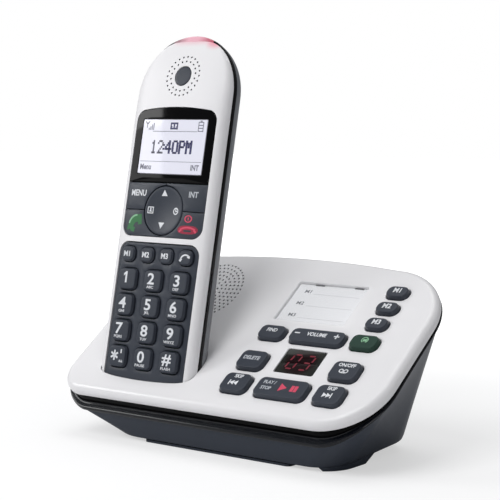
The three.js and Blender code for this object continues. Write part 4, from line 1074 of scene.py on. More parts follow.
def opening(grow, height):
    """Where the handset's form, grown by a distance, passes a height over the panel."""
    profile = form_profile(26)
    to_panel = PANEL.inverted() @ HANDSET

    def points(station):
        return moved(form_points(profile, station, station, grow), to_panel)

    count = len(profile[0])
    low, high = np.zeros(count), np.full(count, 90.0)
    for _ in range(40):
        middle = (low + high) / 2
        found = points(middle)
        below = found[:, 2] < lifted(found[:, :2], height)[:, 2]
        low, high = np.where(below, middle, low), np.where(below, high, middle)
    return points((low + high) / 2)


def base_key_table():
    """Keys of the base: name, column, row, width and height."""
    left, middle, right = COLUMNS
    keys = [
        ("play_stop_key", middle, 14.5, 25, 10.6),
        ("skip_back_key", left, 14.5, 13.4, 10.6),
        ("skip_forward_key", right, 14.5, 13.4, 10.6),
        ("delete_key", left, 28.05, 13.4, 10.6),
        ("on_off_key", right, 28.05, 13.4, 10.6),
        ("find_key", left, 44.9, 13, 8.2),
        ("volume_key", middle, 44.9, 27, 8.2),
        ("speakerphone_key", right, 44.9, 13, 8.2),
    ]
    keys += [(f"base_memory_key_{k + 1}", right, 56 + (2 - k) * 9.7, 10.4, 6.8) for k in range(3)]
    return keys


def grille_points(settings):
    """Places of the grille's holes: rings, each with six more holes than the last."""
    middle = (DISH_CENTRE[0], GRILLE_ROW)
    rings = range(1, settings.grille_rings + 1)
    circles = [circle(settings.grille_pitch / MM * ring, *middle, 6 * ring, 0.5) for ring in rings]
    return np.concatenate([[middle], *circles])


def cradle_mouth():
    """Rings of the handset opening, from its rounded edge on the dish down and back up outside."""
    crest = grown(opening(CRADLE_GAP, dish)[:, :2], CRADLE_EDGE)
    rings = [lifted(crest, dish)]
    for share in (0.35, 0.7, 1.0):
        angle = share * QUARTER
        level = CRADLE_EDGE * (1 - math.cos(angle))
        ring = opening(CRADLE_GAP, lambda x, y, level=level: dish(x, y) - level)
        outward = CRADLE_EDGE * (1 - math.sin(angle))
        rings.append(np.column_stack([grown(ring[:, :2], outward), ring[:, 2]]))
    rings += [opening(CRADLE_GAP, height) for height in (-4.5, -6.2, -8)]
    rings += [opening(CRADLE_OUTSIDE, height) for height in (-8, -6, cover_underside)]
    return rings


def cover_underside(x, y):
    """Height of the cover's inner face."""
    return dish(x, y) - COVER_WALL


def cover_mesh(settings):
    """The white top cover: outer skin, rolled edge, key holes, memo pocket, handset opening and grille."""
    build = Build()
    rim, dimple = settings.hole_rim / MM, 0.06
    key_holes = [key_hole(x, y, w, h, BASE_KEY_CORNER) for _, x, y, w, h in base_key_table()]
    key_holes.append(rounded(WINDOW[2], WINDOW[3], 0.8, WINDOW[0], WINDOW[1]))
    dots = [circle(settings.grille_hole / MM + 0.05, x, y, 10) for x, y in grille_points(settings)]
    pocket = rounded(MEMO[2], MEMO[3], 1, MEMO[0], MEMO[1])
    mouth = cradle_mouth()
    extra = net(*DISH_NET, DISH_NET_PITCH)
    extra = extra[np.hypot(*(extra - DISH_CENTRE).T) < DISH_NET_REACH]

    skin_holes = [grown(hole, rim) for hole in key_holes] + [grown(pocket, GAP), mouth[0][:, :2]]
    skin_holes += [grown(dot, dimple) for dot in dots]
    flat, faces = fill(outline(COVER_ROUND)[:, :2], skin_holes, extra)
    build.add(lifted(flat, dish), faces)
    rings = []
    for step in range(9):
        angle = step / 8 * QUARTER
        rings.append(outline_ring(COVER_ROUND * (1 - math.sin(angle)), COVER_ROUND * (1 - math.cos(angle))))
    rings[0] = lifted(rings[0][:, :2], dish)
    for inset, rise in ((0, 0.3), (0.1, 0.1), (0.3, 0), (COVER_RIM, 0)):
        rings.append(outline_ring(inset, COVER_SKIRT - rise))
    rings.append(lifted(outline(COVER_RIM)[:, :2], cover_underside))
    build.strip(rings)

    for hole in key_holes:
        build.strip([*rim_rings(hole, dish, rim, -1), lifted(hole, cover_underside)])
    for dot in dots:
        edge = lifted(dot, dish) - (0, 0, 0.08)
        build.strip([lifted(grown(dot, dimple), dish), edge, lifted(dot, cover_underside)])
    build.strip([*rim_rings(pocket, dish, GAP, -1), lifted(pocket, -MEMO_DEPTH)])
    floor, faces = fill(pocket)
    build.add(lifted(floor, -MEMO_DEPTH), faces)
    build.strip(mouth)

    flat, faces = fill(outline(COVER_RIM)[:, :2], [*key_holes, *dots, mouth[-1][:, :2]], extra)
    build.add(lifted(flat, cover_underside), faces)
    return build.mesh(PANEL)


# Profiles of the band and its lip: inset, share of the band's depth, share of the lip's overhang.
BAND_PROFILE = (
    (1.35, 0.0, 0), (1.08, 0.03, 0), (1.0, 0.08, 0), (1.0, 0.58, 0), (2.7, 0.58, 0), (2.7, 0.0, 0),
)
LIP_PROFILE = (
    (1.3, 0.57, 0), (1.0, 0.585, 0.01), (0.94, 0.635, 0.1), (0.72, 0.67, 0.35), (0.3, 0.7, 0.75),
    (0.1, 0.73, 0.95), (0.0, 0.78, 1), (0.0, 0.9, 1), (0.1, 0.97, 1), (0.35, 1.0, 1), (2.7, 1.0, 0),
    (2.7, 0.57, 0),
)


def band_mesh(profile):
    """A ring under the cover with a profile."""
    build = Build()
    build.strip([outline_ring(inset, band_depth(share), LIP * flare) for inset, share, flare in profile], True)
    return build.mesh(PANEL)


def housing_mesh():
    """The tapered lower housing with its sockets' openings and floor slots."""
    insets = (0.9, 1.05, 3.1)
    edge, wall_top, inner_top = (moved(outline_ring(inset, housing_top, LIP), PANEL) for inset in insets)
    low = footprint()
    rings = [footprint(1.0, 0.0), footprint(0.5, 0.12), footprint(0.15, 0.4)]
    rings += [low + (edge - low) * share for share in np.linspace(0.04, 0.985, 14)]
    rings += [wall_top, inner_top, footprint(2.4, 2.6), footprint(2.9, 2.2)]
    (front, rear), (floor, ceiling) = SOCKET_ROWS, SOCKET_LEVELS
    sockets = []
    for x in SOCKET_COLUMNS:
        sockets.append(block((x - SOCKET_HALF, front, floor), (x + SOCKET_HALF, rear, ceiling), BASE))
    slots = bars(9, 3.2, 24, 1.5, 8, BASE, (DISH_CENTRE[0] + 8, -12, 2), "dark_plastic")
    return cut(lofted(rings, BASE), [*sockets, slots])


def corner_foot_mesh():
    """The foot that follows the front right corner and runs out to nothing at both ends."""
    (centre_x, centre_y), radius, run_out = CORNER_FOOT, CORNER_FOOT_RADIUS, 6
    rays = [(math.cos(turn), math.sin(turn)) for turn in np.radians(np.linspace(-65, 0, 20))]
    path = [(centre_x + radius * x, centre_y + radius * y, x, y) for x, y in rays]
    path += [(centre_x + radius, y, 1.0, 0.0) for y in np.linspace(centre_y + 0.7, CORNER_FOOT_END, 14)]
    profile = [(0, 1), (0.12, 0.5), (0.25, 0.12), (0.5, 0), (5.6, 0), (6.0, 0.12), (6.2, 0.5), (6.2, 1)]
    rings = []
    for k, (x, y, out_x, out_y) in enumerate(path):
        top = bottom_at(y) + 0.2
        low = (top - 0.15) * min(max(1 - k / 2, 0.0, (y - CORNER_FOOT_END) / run_out + 1), 1.0)
        ring = [(x - out_x * inset, y - out_y * inset, low + (top - low) * share) for inset, share in profile]
        rings.append(np.array(ring))
    return lofted(rings, BASE)


def shaped_key(x, y, width, height, corner, foot, proud, edge, draft, space):
    """A key with sloping walls, a rolled top edge and a flat top."""

    def ring(inset, least, level):
        loop = rounded(width - 2 * inset, height - 2 * inset, max(corner - inset, least), x, y)
        return lifted(loop, level)

    rings = [ring(0, 0, -foot), ring(0, 0, 0)]
    for step in range(8):
        angle = step / 7 * QUARTER
        rings.append(ring(draft + edge * (1 - math.cos(angle)), 0.3, proud - edge * (1 - math.sin(angle))))
    reach = min(width, height) / 2 - draft - edge
    rings += [ring(draft + edge + reach * share * 0.9, 0.12, proud) for share in (0.25, 0.5, 0.75)]
    return lofted(rings, space)


# Finishes: name, colour, roughness, its spread, drift of the tone, grain, bump and specular level.
# A colour in words is one of the settings.
FINISHES = (
    ("white_shell", "shell", 0.3, 0.08, 0.03, 2600, 0.05, 0.5),
    ("handset_white", "shell", 0.36, 0.08, 0.03, 2600, 0.05, 0.3),
    ("slate_rubber", "slate", 0.4, 0.14, 0.1, 3600, 0.3, 0.36),
    ("slate_mat", "slate", 0.4, 0.14, 0.08, 3600, 0.35, 0.36),
    ("slate_housing", "housing", 0.38, 0.14, 0.08, 2400, 0.25, 0.3),
    ("black_gloss", "black", 0.03, 0.02, 0.2, 1500, 0.01, 0.16),
    ("band_black", "black", 0.1, 0.03, 0.2, 1500, 0.02, 0.05),
    # This finish is the band's black made lighter and bluer, a painted highlight along the lip.
    ("lip_painted_highlight", srgb(15, 18, 24), 0.14, 0.03, 0.2, 1500, 0.02, 0.3),
    ("window_lens", srgb(38, 40, 37), 0.06, 0.03, 0.2, 1500, 0.01, 0.3),
    ("grey_shell", "grey", 0.36, 0.1, 0.06, 2600, 0.2, 0.5),
    ("green_key", "green", 0.42, 0.14, 0.1, 3600, 0.3, 0.25),
    ("white_ink", "ink", 0.55, 0.2, 0.08, 5200, 0.1, 0.3),
    ("soft_ink", srgb(190, 194, 200), 0.55, 0.2, 0.08, 5200, 0.1, 0.3),
    ("green_ink", srgb(58, 116, 72), 0.5, 0.2, 0.2, 2400, 0.1, 0.3),
    # This pale green prints the speakerphone sign, and paints the highlight on the talk key.
    ("pale_green_ink_and_glint", srgb(140, 190, 152), 0.55, 0.2, 0.2, 2400, 0.1, 0.3),
    ("red_ink", srgb(214, 76, 102), 0.5, 0.2, 0.15, 2400, 0.1, 0.3),
    ("deep_red_ink", srgb(158, 44, 66), 0.5, 0.2, 0.15, 2400, 0.1, 0.3),
    ("display_ink", "panel_ink", 0.3, 0.1, 0.2, 4200, 0.05, 0.5),
    # This faint ink prints the display's faint marks, and on the clock's hours stands for a painted reflection.
    ("faint_ink_and_reflection", srgb(112, 112, 128), 0.3, 0.1, 0.2, 4200, 0.05, 0.5),
    ("grey_ink", srgb(120, 122, 128), 0.6, 0.1, 0.1, 4200, 0.05, 0.3),
    ("card_paper", srgb(246, 246, 248), 0.85, 0.1, 0.03, 5200, 0.3, 0.2),
    ("clear_cover", srgb(240, 242, 246), 0.08, 0.04, 0.02, 1500, 0.02, 0.5),
    ("circuit_board", srgb(40, 84, 58), 0.45, 0.2, 0.25, 900, 0.3, 0.5),
    # This dark finish colours the dark parts inside, and also paints the shade in the grille and earpiece holes
    # and in the memo pocket's notches.
    ("dark_plastic", srgb(34, 36, 40), 0.5, 0.15, 0.15, 2600, 0.3, 0.4),
    ("contact_metal", srgb(206, 186, 132), 0.26, 0.2, 0.12, 1800, 0.1, 0.5),
    ("screw_steel", srgb(150, 152, 156), 0.34, 0.2, 0.15, 2400, 0.15, 0.5),
    ("foot_rubber", srgb(56, 61, 71), 0.7, 0.12, 0.15, 2600, 0.4, 0.25),
    ("cell_sleeve", srgb(70, 104, 160), 0.34, 0.15, 0.12, 1800, 0.1, 0.5),
)

# Lit finishes: name, colour, strength, roughness, spread of the brightness and grain.
LIT_FINISHES = (
    ("ringer_red", "light", 0.1, 0.12, 0.2, 900),
    ("digit_red", srgb(112, 30, 44), 0.18, 0.3, 0.2, 900),
    ("display_face", "glow", 0.12, 0.03, 0.03, 400),
)

# What a finish has besides: its name, the shader's socket and the value.
EXTRAS = (
    ("white_shell", "Coat Weight", 0.15), ("white_shell", "Coat Roughness", 0.12),
    ("clear_cover", "Alpha", 0.08), ("contact_metal", "Metallic", 1.0), ("screw_steel", "Metallic", 1.0),
)

# Soft tints: finish, colour, space, point, inner and outer distance, strength and depth.
TINTS = (
    # The two pink spots on the handset's shell are painted light: the ringer's pink glow painted on the shell
    # round it, strongest by its right end.
    ("handset_white", srgb(244, 150, 172), HANDSET, (0, 161, -6.0), 7, 13, 0.5, 1.8),
    ("handset_white", srgb(246, 90, 130), HANDSET, (11.8, 157, -5.8), 1, 5, 0.65, 2.2),
    ("window_lens", srgb(26, 6, 10), PANEL, (WINDOW[0], WINDOW[1], 0), 5, 9.5, 0.95, None),
    # The two spots on the ringer paint shade into its ends: deep pink at the right end and dark red-brown at
    # the left.
    ("ringer_red", srgb(176, 22, 62), HANDSET, (11.5, 157, -7.5), 2, 10.5, 0.9, None),
    ("ringer_red", srgb(70, 8, 22), HANDSET, (-12, 157, -7.5), 2, 10.5, 0.9, None),
)


class MACHINE_OT_finishes(bpy.types.Operator):
    """Make the machine's finishes"""

    bl_idname = "machine.finishes"
    bl_label = "Finishes"

    def execute(self, context):
        tones = context.scene.machine_finishes
        for make, rows in ((moulded, FINISHES), (lit, LIT_FINISHES)):
            for name, colour, *values in rows:
                make(name, getattr(tones, colour) if isinstance(colour, str) else colour, *values)
        for name, socket, value in EXTRAS:
            shader_inputs(finish(name))[socket].default_value = value
        for row in TINTS:
            tinted_near(*row)
        return {"FINISHED"}


class MACHINE_OT_cover(bpy.types.Operator):
    """Make the white top cover, and the dark tubes in its grille's holes that paint the shade in them"""

    bl_idname = "machine.cover"
    bl_label = "Top cover"

    def execute(self, context):
        settings = context.scene.machine_shapes
        add_piece("top_cover", cover_mesh(settings), "white_shell", "base", "base_cover")
        radius = settings.grille_hole / MM + 0.02
        # Dark tubes in the grille's holes paint the shade inside them.
        shade_sleeves("grille_sleeves", radius, 2.4, grille_points(settings), 1.5, dish, PANEL, "base")
        return {"FINISHED"}


class MACHINE_OT_lower(bpy.types.Operator):
    """Make the trim band, the lower housing and its screws"""

    bl_idname = "machine.lower"
    bl_label = "Trim and housing"

    def execute(self, context):
        settings = context.scene.machine_shapes
        add_piece("gloss_band", band_mesh(BAND_PROFILE), "band_black", "base", "trim_band")
        # The lip is drawn in a lighter black than the band above it, as a painted highlight.
        add_piece("gloss_lip", band_mesh(LIP_PROFILE), "lip_painted_highlight", "base", None)
        add_piece("lower_housing", housing_mesh(), "slate_housing", "base", "base_housing", 28)
        add_piece("corner_foot_pad", corner_foot_mesh(), "slate_housing", "base", "corner_foot")
        sizes = {"Radius": settings.screw_radius / MM, "Thickness": 0.9, "Slot": 0.8}
        mesh = grown_from(screws_tree(), sizes, "screw_steel", [(x, y, 0) for x, y in SCREWS])
        slope = Matrix.Rotation(math.atan(BOTTOM_SLOPE), 4, "X")
        bottom = Matrix.Translation((0, FOOT_FRONT, BOTTOM_LOW)) @ slope @ Matrix.Rotation(math.pi, 4, "X")
        settle(mesh, bottom @ Matrix.Translation((0, 0, -0.15)))
        add_piece("housing_screws", mesh, "screw_steel", "base")
        return {"FINISHED"}


def skip_icon(x, y, way):
    """A bar and two small triangles."""
    shapes = [box_shape(0.5, 2.7, x + way * 2.1, y)]
    shapes += [triangle_shape(2.1, x + way * offset, y, 0 if way > 0 else 180) for offset in (0.95, -0.9)]
    return shapes


class MACHINE_OT_base_keys(bpy.types.Operator):
    """Make the keys of the base and their signs"""

    bl_idname = "machine.base_keys"
    bl_label = "Base keys"

    def execute(self, context):
        thickness = context.scene.machine_shapes.print_height / MM
        for name, x, y, width, height in base_key_table():
            foot = 4.3 if name == "volume_key" else 3.1
            look = "green_key" if name == "speakerphone_key" else "slate_rubber"
            mesh = shaped_key(x, y, width, height, BASE_KEY_CORNER, foot, BASE_KEY_PROUD, 0.55, 0.35, PANEL)
            add_piece(name + "_cap", mesh, look, name, name)

        left, middle, right = COLUMNS
        narrow = {"width": 0.88, "bold": 0.03}
        play_words = [("PLAY /", 2.4, middle - 6.4, 16.6, narrow), ("STOP", 2.4, middle - 6.8, 13.4, narrow)]
        play_marks = [triangle_shape(3.5, middle + 1.2, 14.6, 0), *pair(1.5, 3.2, middle + 6.475, 14.6, 0.875)]
        reels = [ring_shape(0.85, 0.45, right + side * 1.1, 27.5) for side in (-1, 1)]
        reels.append(box_shape(2.2, 0.45, right, 26.5))
        volume_marks = [box_shape(2.6, 0.6, middle - 10, 45.6)]
        volume_marks += [box_shape(2.6, 0.6, middle + 9.6, 45.6, turn) for turn in (0, 90)]
        speaker = [ring_shape(1.45, 0.4, right + 0.3, 45.6, -60, 240), box_shape(1.0, 1.3, right, 45.4)]
        speaker.append(triangle_shape(1.6, right + 0.5, 45.5, 180))
        # Key, ink, end of the piece's name, letters and shapes.
        jobs = [
            ("skip_back", "white_ink", "sign", [("SKIP", 2.6, left + 0.3, 17.6, narrow)],
             skip_icon(left - 0.4, 13.8, -1)),
            ("skip_forward", "white_ink", "sign", [("SKIP", 2.6, right + 0.3, 17.6, narrow)],
             skip_icon(right - 0.4, 13.8, 1)),
            ("play_stop", "soft_ink", "sign", play_words, []),
            ("play_stop", "red_ink", "marks", [], play_marks),
            ("delete", "soft_ink", "sign", [("DELETE", 2.8, left - 0.2, 28.6, narrow)], []),
            ("on_off", "white_ink", "sign", [("ON/OFF", 2.5, right + 0.1, 30.8, narrow)], reels),
            ("find", "white_ink", "sign", [("FIND", 2.7, left, 45.7, narrow)], []),
            ("volume", "white_ink", "sign", [("VOLUME", 2.8, middle - 0.3, 45.6, narrow)], volume_marks),
            ("speakerphone", "pale_green_ink_and_glint", "sign", [], speaker),
        ]
        for key, ink, part, letters, shapes in jobs:
            signs(f"{key}_{part}", letters, shapes, BASE_KEY_PROUD, PANEL, ink, key + "_key", thickness)
        for k, (name, x, y, *_) in enumerate(base_key_table()[-3:]):
            letters = [(f"M{k + 1}", 3.7, x, y + 0.5, narrow)]
            signs(name + "_sign", letters, [], BASE_KEY_PROUD, PANEL, "white_ink", name, thickness)
        return {"FINISHED"}


def digit_bars(x, y, segments):
    """Bars of one seven-segment digit. Segments run a to g."""
    half, tall, thick = DIGIT_WIDTH / 2, DIGIT_HEIGHT / 2, DIGIT_BAR / 2
    places = {
        "a": (0, tall, True), "b": (half, tall / 2, False), "c": (half, -tall / 2, False),
        "d": (0, -tall, True), "e": (-half, -tall / 2, False), "f": (-half, tall / 2, False), "g": (0, 0, True),
    }
    shapes = []
    for name in segments:
        centre_x, centre_y, flat = places[name]
        end = ((DIGIT_WIDTH if flat else tall) - DIGIT_BAR * 1.15) / 2
        tip = end - thick
        bar = np.array([(-end, 0), (-tip, -thick), (tip, -thick), (end, 0), (tip, thick), (-tip, thick)])
        bar = (bar if flat else bar[:, ::-1] * (-1, 1)) + (centre_x, centre_y)
        bar[:, 0] += bar[:, 1] * DIGIT_LEAN
        shapes.append(bar + (x, y))
    return shapes


class MACHINE_OT_window(bpy.types.Operator):
    """Make the message window with its two digits"""

    bl_idname = "machine.window"
    bl_label = "Message window"

    def execute(self, context):
        x, y, width, height = WINDOW
        top = -0.2
        lens = plate(rounded(width - 2 * GAP, height - 2 * GAP, 0.6, x, y), top, -1.4, 0.15).mesh(PANEL)
        add_piece("window_lens_plate", lens, "window_lens", "base", "display_window")
        shapes = digit_bars(x - 3.2, y - 0.2, "abcdef") + digit_bars(x + 3.4, y - 0.2, "abcdg")
        signs("message_digits", [], shapes, top, PANEL, "digit_red", "base")
        return {"FINISHED"}


class MACHINE_OT_memo(bpy.types.Operator):
    """Make the memo card under its clear cover"""

    bl_idname = "machine.memo"
    bl_label = "Memo card"

    def execute(self, context):
        x, y, width, height = MEMO
        top = -1.3
        card = plate(rounded(width - 2 * GAP, height - 2 * GAP, 0.7, x, y), top, -1.6, 0.05).mesh(PANEL)
        add_piece("memo_sheet", card, "card_paper", "base", "memo_card")
        loop = rounded(width - 2 * GAP, height - 1.6, 0.7, x, y - 0.5)
        cover = plate(loop, -0.1, -1.0, 0.15).mesh(PANEL)
        add_piece("memo_clear_cover", cover, "clear_cover", "base", "memo_cover")
        rows = [y + 0.2 + (1 - k) * 7.4 for k in range(3)]
        shapes = [box_shape(width - 13, 0.07, x + 3.8, row - 1.4) for row in rows]
        letters = [(f"M{k + 1}", 2.7, x - width / 2 + 6.6, row, {"width": 1.15}) for k, row in enumerate(rows)]
        signs("memo_lines", letters, shapes, top, PANEL, "grey_ink", "base")
        # Two dark marks at the pocket's top edge paint the shade in its finger notches.
        notch_shades = [box_shape(4.6, 0.5, x + offset, y + height / 2 - 0.5) for offset in (-7.4, 12.8)]
        signs("memo_notches", [], notch_shades, top + 0.05, PANEL, "dark_plastic", "base", 0.2)
        return {"FINISHED"}


# Pieces of the handset


def face_loop(half, low, high, corner, inset, arch=0.0):
    """A rounded outline on the handset's face, set in by a distance, whose upper edge may arch."""
    half, low, high, corner = half - inset, low + inset, high - inset, corner - inset
    reach = half - corner
    points = bend(reach, high - corner, corner, 0, 8)
    if arch:
        points += [(share * reach, high + arch * (1 - share**2)) for share in np.linspace(0.9, -0.9, 13)]
    points += bend(-reach, high - corner, corner, 1, 8)
    points += bend(-reach, low + corner, corner, 2, 8)
    points += bend(reach, low + corner, corner, 3, 8)
    return np.array(points)


def keypad_loop(inset):
    """Outline of the keypad."""
    return face_loop(FACE_HALF, KEYPAD_LOW, KEYPAD_HIGH, FACE_CORNER, inset)


def upper_loop(inset):
    """Outline of the upper keys and display together."""
    return face_loop(FACE_HALF, UPPER_LOW, UPPER_HIGH, FACE_CORNER, inset, UPPER_ARCH)


def door_loop(inset):
    """Outline of the battery door."""
    return face_loop(13.6, 52.6, 105.2, 4, inset)


def handset_keys():
    """Keys of the handset: name, column, row, width, height and how proud."""
    keys = []
    for k, label in enumerate(("star", "0", "hash", "7", "8", "9", "4", "5", "6", "1", "2", "3")):
        row, column = divmod(k, 3)
        x, y = (column - 1) * NUMBER_PITCH[0], NUMBER_ROW + row * NUMBER_PITCH[1]
        keys.append((f"number_key_{label}", x, y, *NUMBER_KEY))
    for k, name in enumerate(("memory_key_1", "memory_key_2", "memory_key_3", "handsfree_key")):
        keys.append((name, (k - 1.5) * MEMORY_PITCH, MEMORY_ROW, *MEMORY_KEY))
    return keys


def ear_points():
    """Places of the two rings of sound holes."""
    return np.concatenate([circle(radius, 0, EAR_ROW, count, count / 4) for radius, count in EAR_RINGS])


def ringer_block(margin):
    """The space that the ringer light takes."""
    half, (low, high) = RINGER_HALF + margin, RINGER_LEVELS
    return block((-half, LENGTH - RINGER_REACH, low - margin), (half, LENGTH + 8, high + margin), HANDSET)


def slab(near, far):
    """A slice of handset space between two depths."""
    return block((-40, -8, -far), (40, LENGTH + 8, -near), HANDSET)


def face_prism(loop):
    """A loop on the handset's face as a cutter through the front shell."""
    return prism(loop, -6.5, 8, HANDSET)


class MACHINE_OT_shells(bpy.types.Operator):
    """Make the handset's shells, seam band, ringer light and battery door"""

    bl_idname = "machine.shells"
    bl_label = "Handset shells"

    def execute(self, context):
        hole, overlap = context.scene.machine_shapes.sound_hole / MM, 0.03
        outer, inner = envelope(), envelope(-SHELL_WALL, 12)
        cutters = [face_prism(loop) for loop in (keypad_loop(0), upper_loop(0), circle(EAR_HOLE, 0, EAR_ROW))]
        front = cut(cut(outer, [slab(-8, FRONT_END)], "INTERSECT"), [inner, *cutters])
        for x, y in ear_points():
            front = cut(front, [face_prism(circle(hole + overlap, x, y, 10))])
        smooth_form(front)
        add_piece("front_shell", front, "handset_white", "handset", "handset_front_shell")
        # Dark tubes in the earpiece's holes paint the shade inside them.
        shade_sleeves("earpiece_sleeves", hole, 1.4, ear_points(), 0.85, face(), HANDSET, "handset")

        hoop = cut(envelope(0.2), [envelope(-3, 12)])
        band = cut(cut(hoop, [slab(TRIM_START, TRIM_END)], "INTERSECT"), [ringer_block(GAP)])
        smooth_form(band, TRIM_TOLERANCE)
        add_piece("seam_trim", band, "black_gloss", "handset", "seam_band")
        ringer = cut(hoop, [ringer_block(0)], "INTERSECT")
        smooth_form(ringer, TRIM_TOLERANCE)
        add_piece("ringer_lens", ringer, "ringer_red", "handset", "ringer_light")

        rear, floor = -REAR_END, BACK_START + 0.2
        tray = cut(outer, [block((-15.1, 51.1, rear), (15.1, 106.7, -floor), HANDSET)], "INTERSECT")
        back = cut(cut(outer, [slab(BACK_START, REAR_END)], "INTERSECT"), [inner])
        back = cut(back, [tray], "UNION")
        seat = cut(prism(door_loop(0), rear, 0, HANDSET), [envelope(-2.1)])
        bay = block((-11.2, 55, rear), (11.2, 102.8, -floor - 1.5), HANDSET)
        slots = bars(6, 2.4, 13, 1.1, 12, HANDSET, (0, 118, -21), "dark_plastic")
        back = cut(back, [seat, bay, ringer_block(GAP), slots])
        smooth_form(back)
        add_piece("back_shell", back, "grey_shell", "handset", "handset_back_shell")

        door = cut(prism(door_loop(GAP), rear, -13, HANDSET), [outer], "INTERSECT")
        door = cut(door, [envelope(-SHELL_WALL)])
        smooth_form(door)
        add_piece("battery_cover", door, "grey_shell", "battery_door", "battery_door")
        ribs = bars(7, 1.6, 15, 0.7, 8, HANDSET, (0, 92, -21), "grey_shell")
        ridges = cut(cut(envelope(0.3), [envelope(-0.6)]), [ribs], "INTERSECT")
        add_piece("battery_cover_ribs", ridges, "grey_shell", "battery_door", None)
        return {"FINISHED"}


KEY_LETTERS = {
    "2": "ABC", "3": "DEF", "4": "GHI", "5": "JKL", "6": "MNO", "7": "PQRS", "8": "TUV", "9": "WXYZ",
    "0": "PAUSE", "hash": "FLASH",
}


def key_sign(name, x, y):
    """Letters and shapes of the sign on a key of the keypad."""
    label = name.split("_")[-1]
    if label == "star":
        shapes = [box_shape(4.4, 0.85, x - 1.3, y + 0.3, turn) for turn in (90, 30, -30)]
        return [("A/a", 1.6, x + 2.5, y - 2.0, {})], [*shapes, box_shape(0.7, 1.7, x + 2.3, y + 2.2)]
    if name == "number_key_1":
        return [], [numeral_one(4.9, 0.95, x - 0.5, y + 0.7)]
    if name == "handsfree_key":
        return [], receiver_shape(4.4, x - 0.1, y + 0.2, 18, 0.16, 0.24)
    if name.startswith("memory"):
        return [("M" + label, 3.2, x - 0.4, y, {"bold": 0.03})], []
    wide = {"width": 1.2, "bold": 0.02}
    mark = "#" if label == "hash" else label
    return [(mark, 6.7, x - 0.8, y + 0.8, wide), (KEY_LETTERS[label], 1.6, x - 0.8, y - 2.8, wide)], []


class MACHINE_OT_keypad(bpy.types.Operator):
    """Make the keypad mat, its keys and their signs"""

    bl_idname = "machine.keypad"
    bl_label = "Keypad"

    def execute(self, context):
        thickness = context.scene.machine_shapes.print_height / MM
        keys = handset_keys()
        holes = [key_hole(x, y, w, h, HANDSET_KEY_CORNER) for _, x, y, w, h, _ in keys]
        mat = plate(keypad_loop(GAP), face(0.35), -3.0, 0.45, holes, 0.25, 2.6)
        add_piece("keypad_sheet", mat.mesh(HANDSET), "slate_mat", "handset", "keypad_mat")
        for name, x, y, width, height, proud in keys:
            mesh = shaped_key(x, y, width, height, HANDSET_KEY_CORNER, 3.3, proud, 0.4, 0.4, HANDSET)
            add_piece(name + "_cap", mesh, "slate_rubber", name, name)
            words, shapes = key_sign(name, x, y)
            signs(name + "_sign", words, shapes, proud, HANDSET, "white_ink", name, thickness)
        return {"FINISHED"}


def beside_pad_loop(side, rise):
    """Outline of a key beside the navigation pad, counter-clockwise. Side and rise are 1 or -1."""
    half, hole, corner = FACE_HALF - GAP, NAV_RADIUS + KEY_GAP, FACE_CORNER - GAP
    angles = np.linspace(math.acos(SPLIT / hole), math.asin(SPLIT / hole), 22)
    arc = np.column_stack([hole * np.cos(angles), hole * np.sin(angles)])
    if rise > 0:
        far = SPLIT_ROW - SPLIT - NAV_ROW
        ends = [(half, far)]
    else:
        far = NAV_ROW - UPPER_LOW - GAP
        ends = bend(half - corner, far - corner, corner, 0, 8)
    loop = np.array([*arc, (half, SPLIT), *ends, (SPLIT, far)]) * (side, rise) + (0, NAV_ROW)
    return loop if side == rise else loop[::-1]


def pad_height(x, y):
    """Height of the hollow top of the navigation pad."""
    share = 1 - np.clip(np.hypot(x, y - NAV_ROW) / (NAV_RADIUS - PAD_EDGE), 0, 1)
    return PAD_TOP - PAD_HOLLOW * np.sin(share * QUARTER)


def pad_mesh():
    """The round navigation pad with a rolled edge and a hollow top."""

    def ring(radius, height):
        return lifted(circle(radius, 0, NAV_ROW, 72), height)

    rings = [ring(NAV_RADIUS, -3.2)]
    for step in range(7):
        angle = step / 6 * QUARTER
        radius = NAV_RADIUS - PAD_EDGE * (1 - math.cos(angle))
        rings.append(ring(radius, PAD_TOP - PAD_EDGE * (1 - math.sin(angle))))
    rings += [ring((NAV_RADIUS - PAD_EDGE) * (1 - share), pad_height) for share in np.linspace(0.08, 0.98, 14)]
    return lofted(rings, HANDSET)


def end_shapes(x, y):
    """The hung-up receiver on the end key: its body, its power mark with a painted highlight and lighter ends,
    and its dark slots.
    """
    shares = np.linspace(-0.94, 0.94, 16)
    body = [box_shape(0.75, 3.6 * (1 - abs(share) ** 3) ** 0.5, x + 5.2 * share, y) for share in shares]
    button = y + 4.7
    rim = [ring_shape(1.75, 0.6, x - 0.3, 0), box_shape(0.6, 1.5, x - 0.3, 0)]
    rim = [shape * (1, 0.78) + (0, button) for shape in rim]
    # The arc along the receiver's top is a painted highlight, and the two marks at its ends are drawn lighter
    # too.
    rim += [arc_shape(9, 0.8, 64, 116, x, y - 8), *pair(1.6, 0.9, x, y - 0.5, 3.9, turn=-40)]
    slots = [box_shape(1.1, 0.8, x + offset, y - 0.5) for offset in (-1.5, -0.5, 0.5, 1.5)]
    return body, rim, slots


def navigation_marks():
    """Marks on the navigation pad: arrows above and below, a card at the left and a clock at the right."""
    x, y = -7.4, NAV_ROW
    marks = [triangle_shape(2.7, -0.6, y + 0.6 + side * 7.1, side * 90) for side in (-1, 1)]
    marks += pair(2.8, 0.4, x, y, 1.3, upright=True) + pair(0.4, 2.8, x, y, 1.3)
    marks += [box_shape(1.3, 0.4, x, y - 0.5), box_shape(0.6, 1.3, x, y + 0.3)]
    marks += [box_shape(0.5, 1.2, 6.7, y + 0.4), box_shape(1.1, 0.45, 7.1, y - 0.1)]
    return [*marks, ring_shape(1.3, 0.5, 6.7, y)]


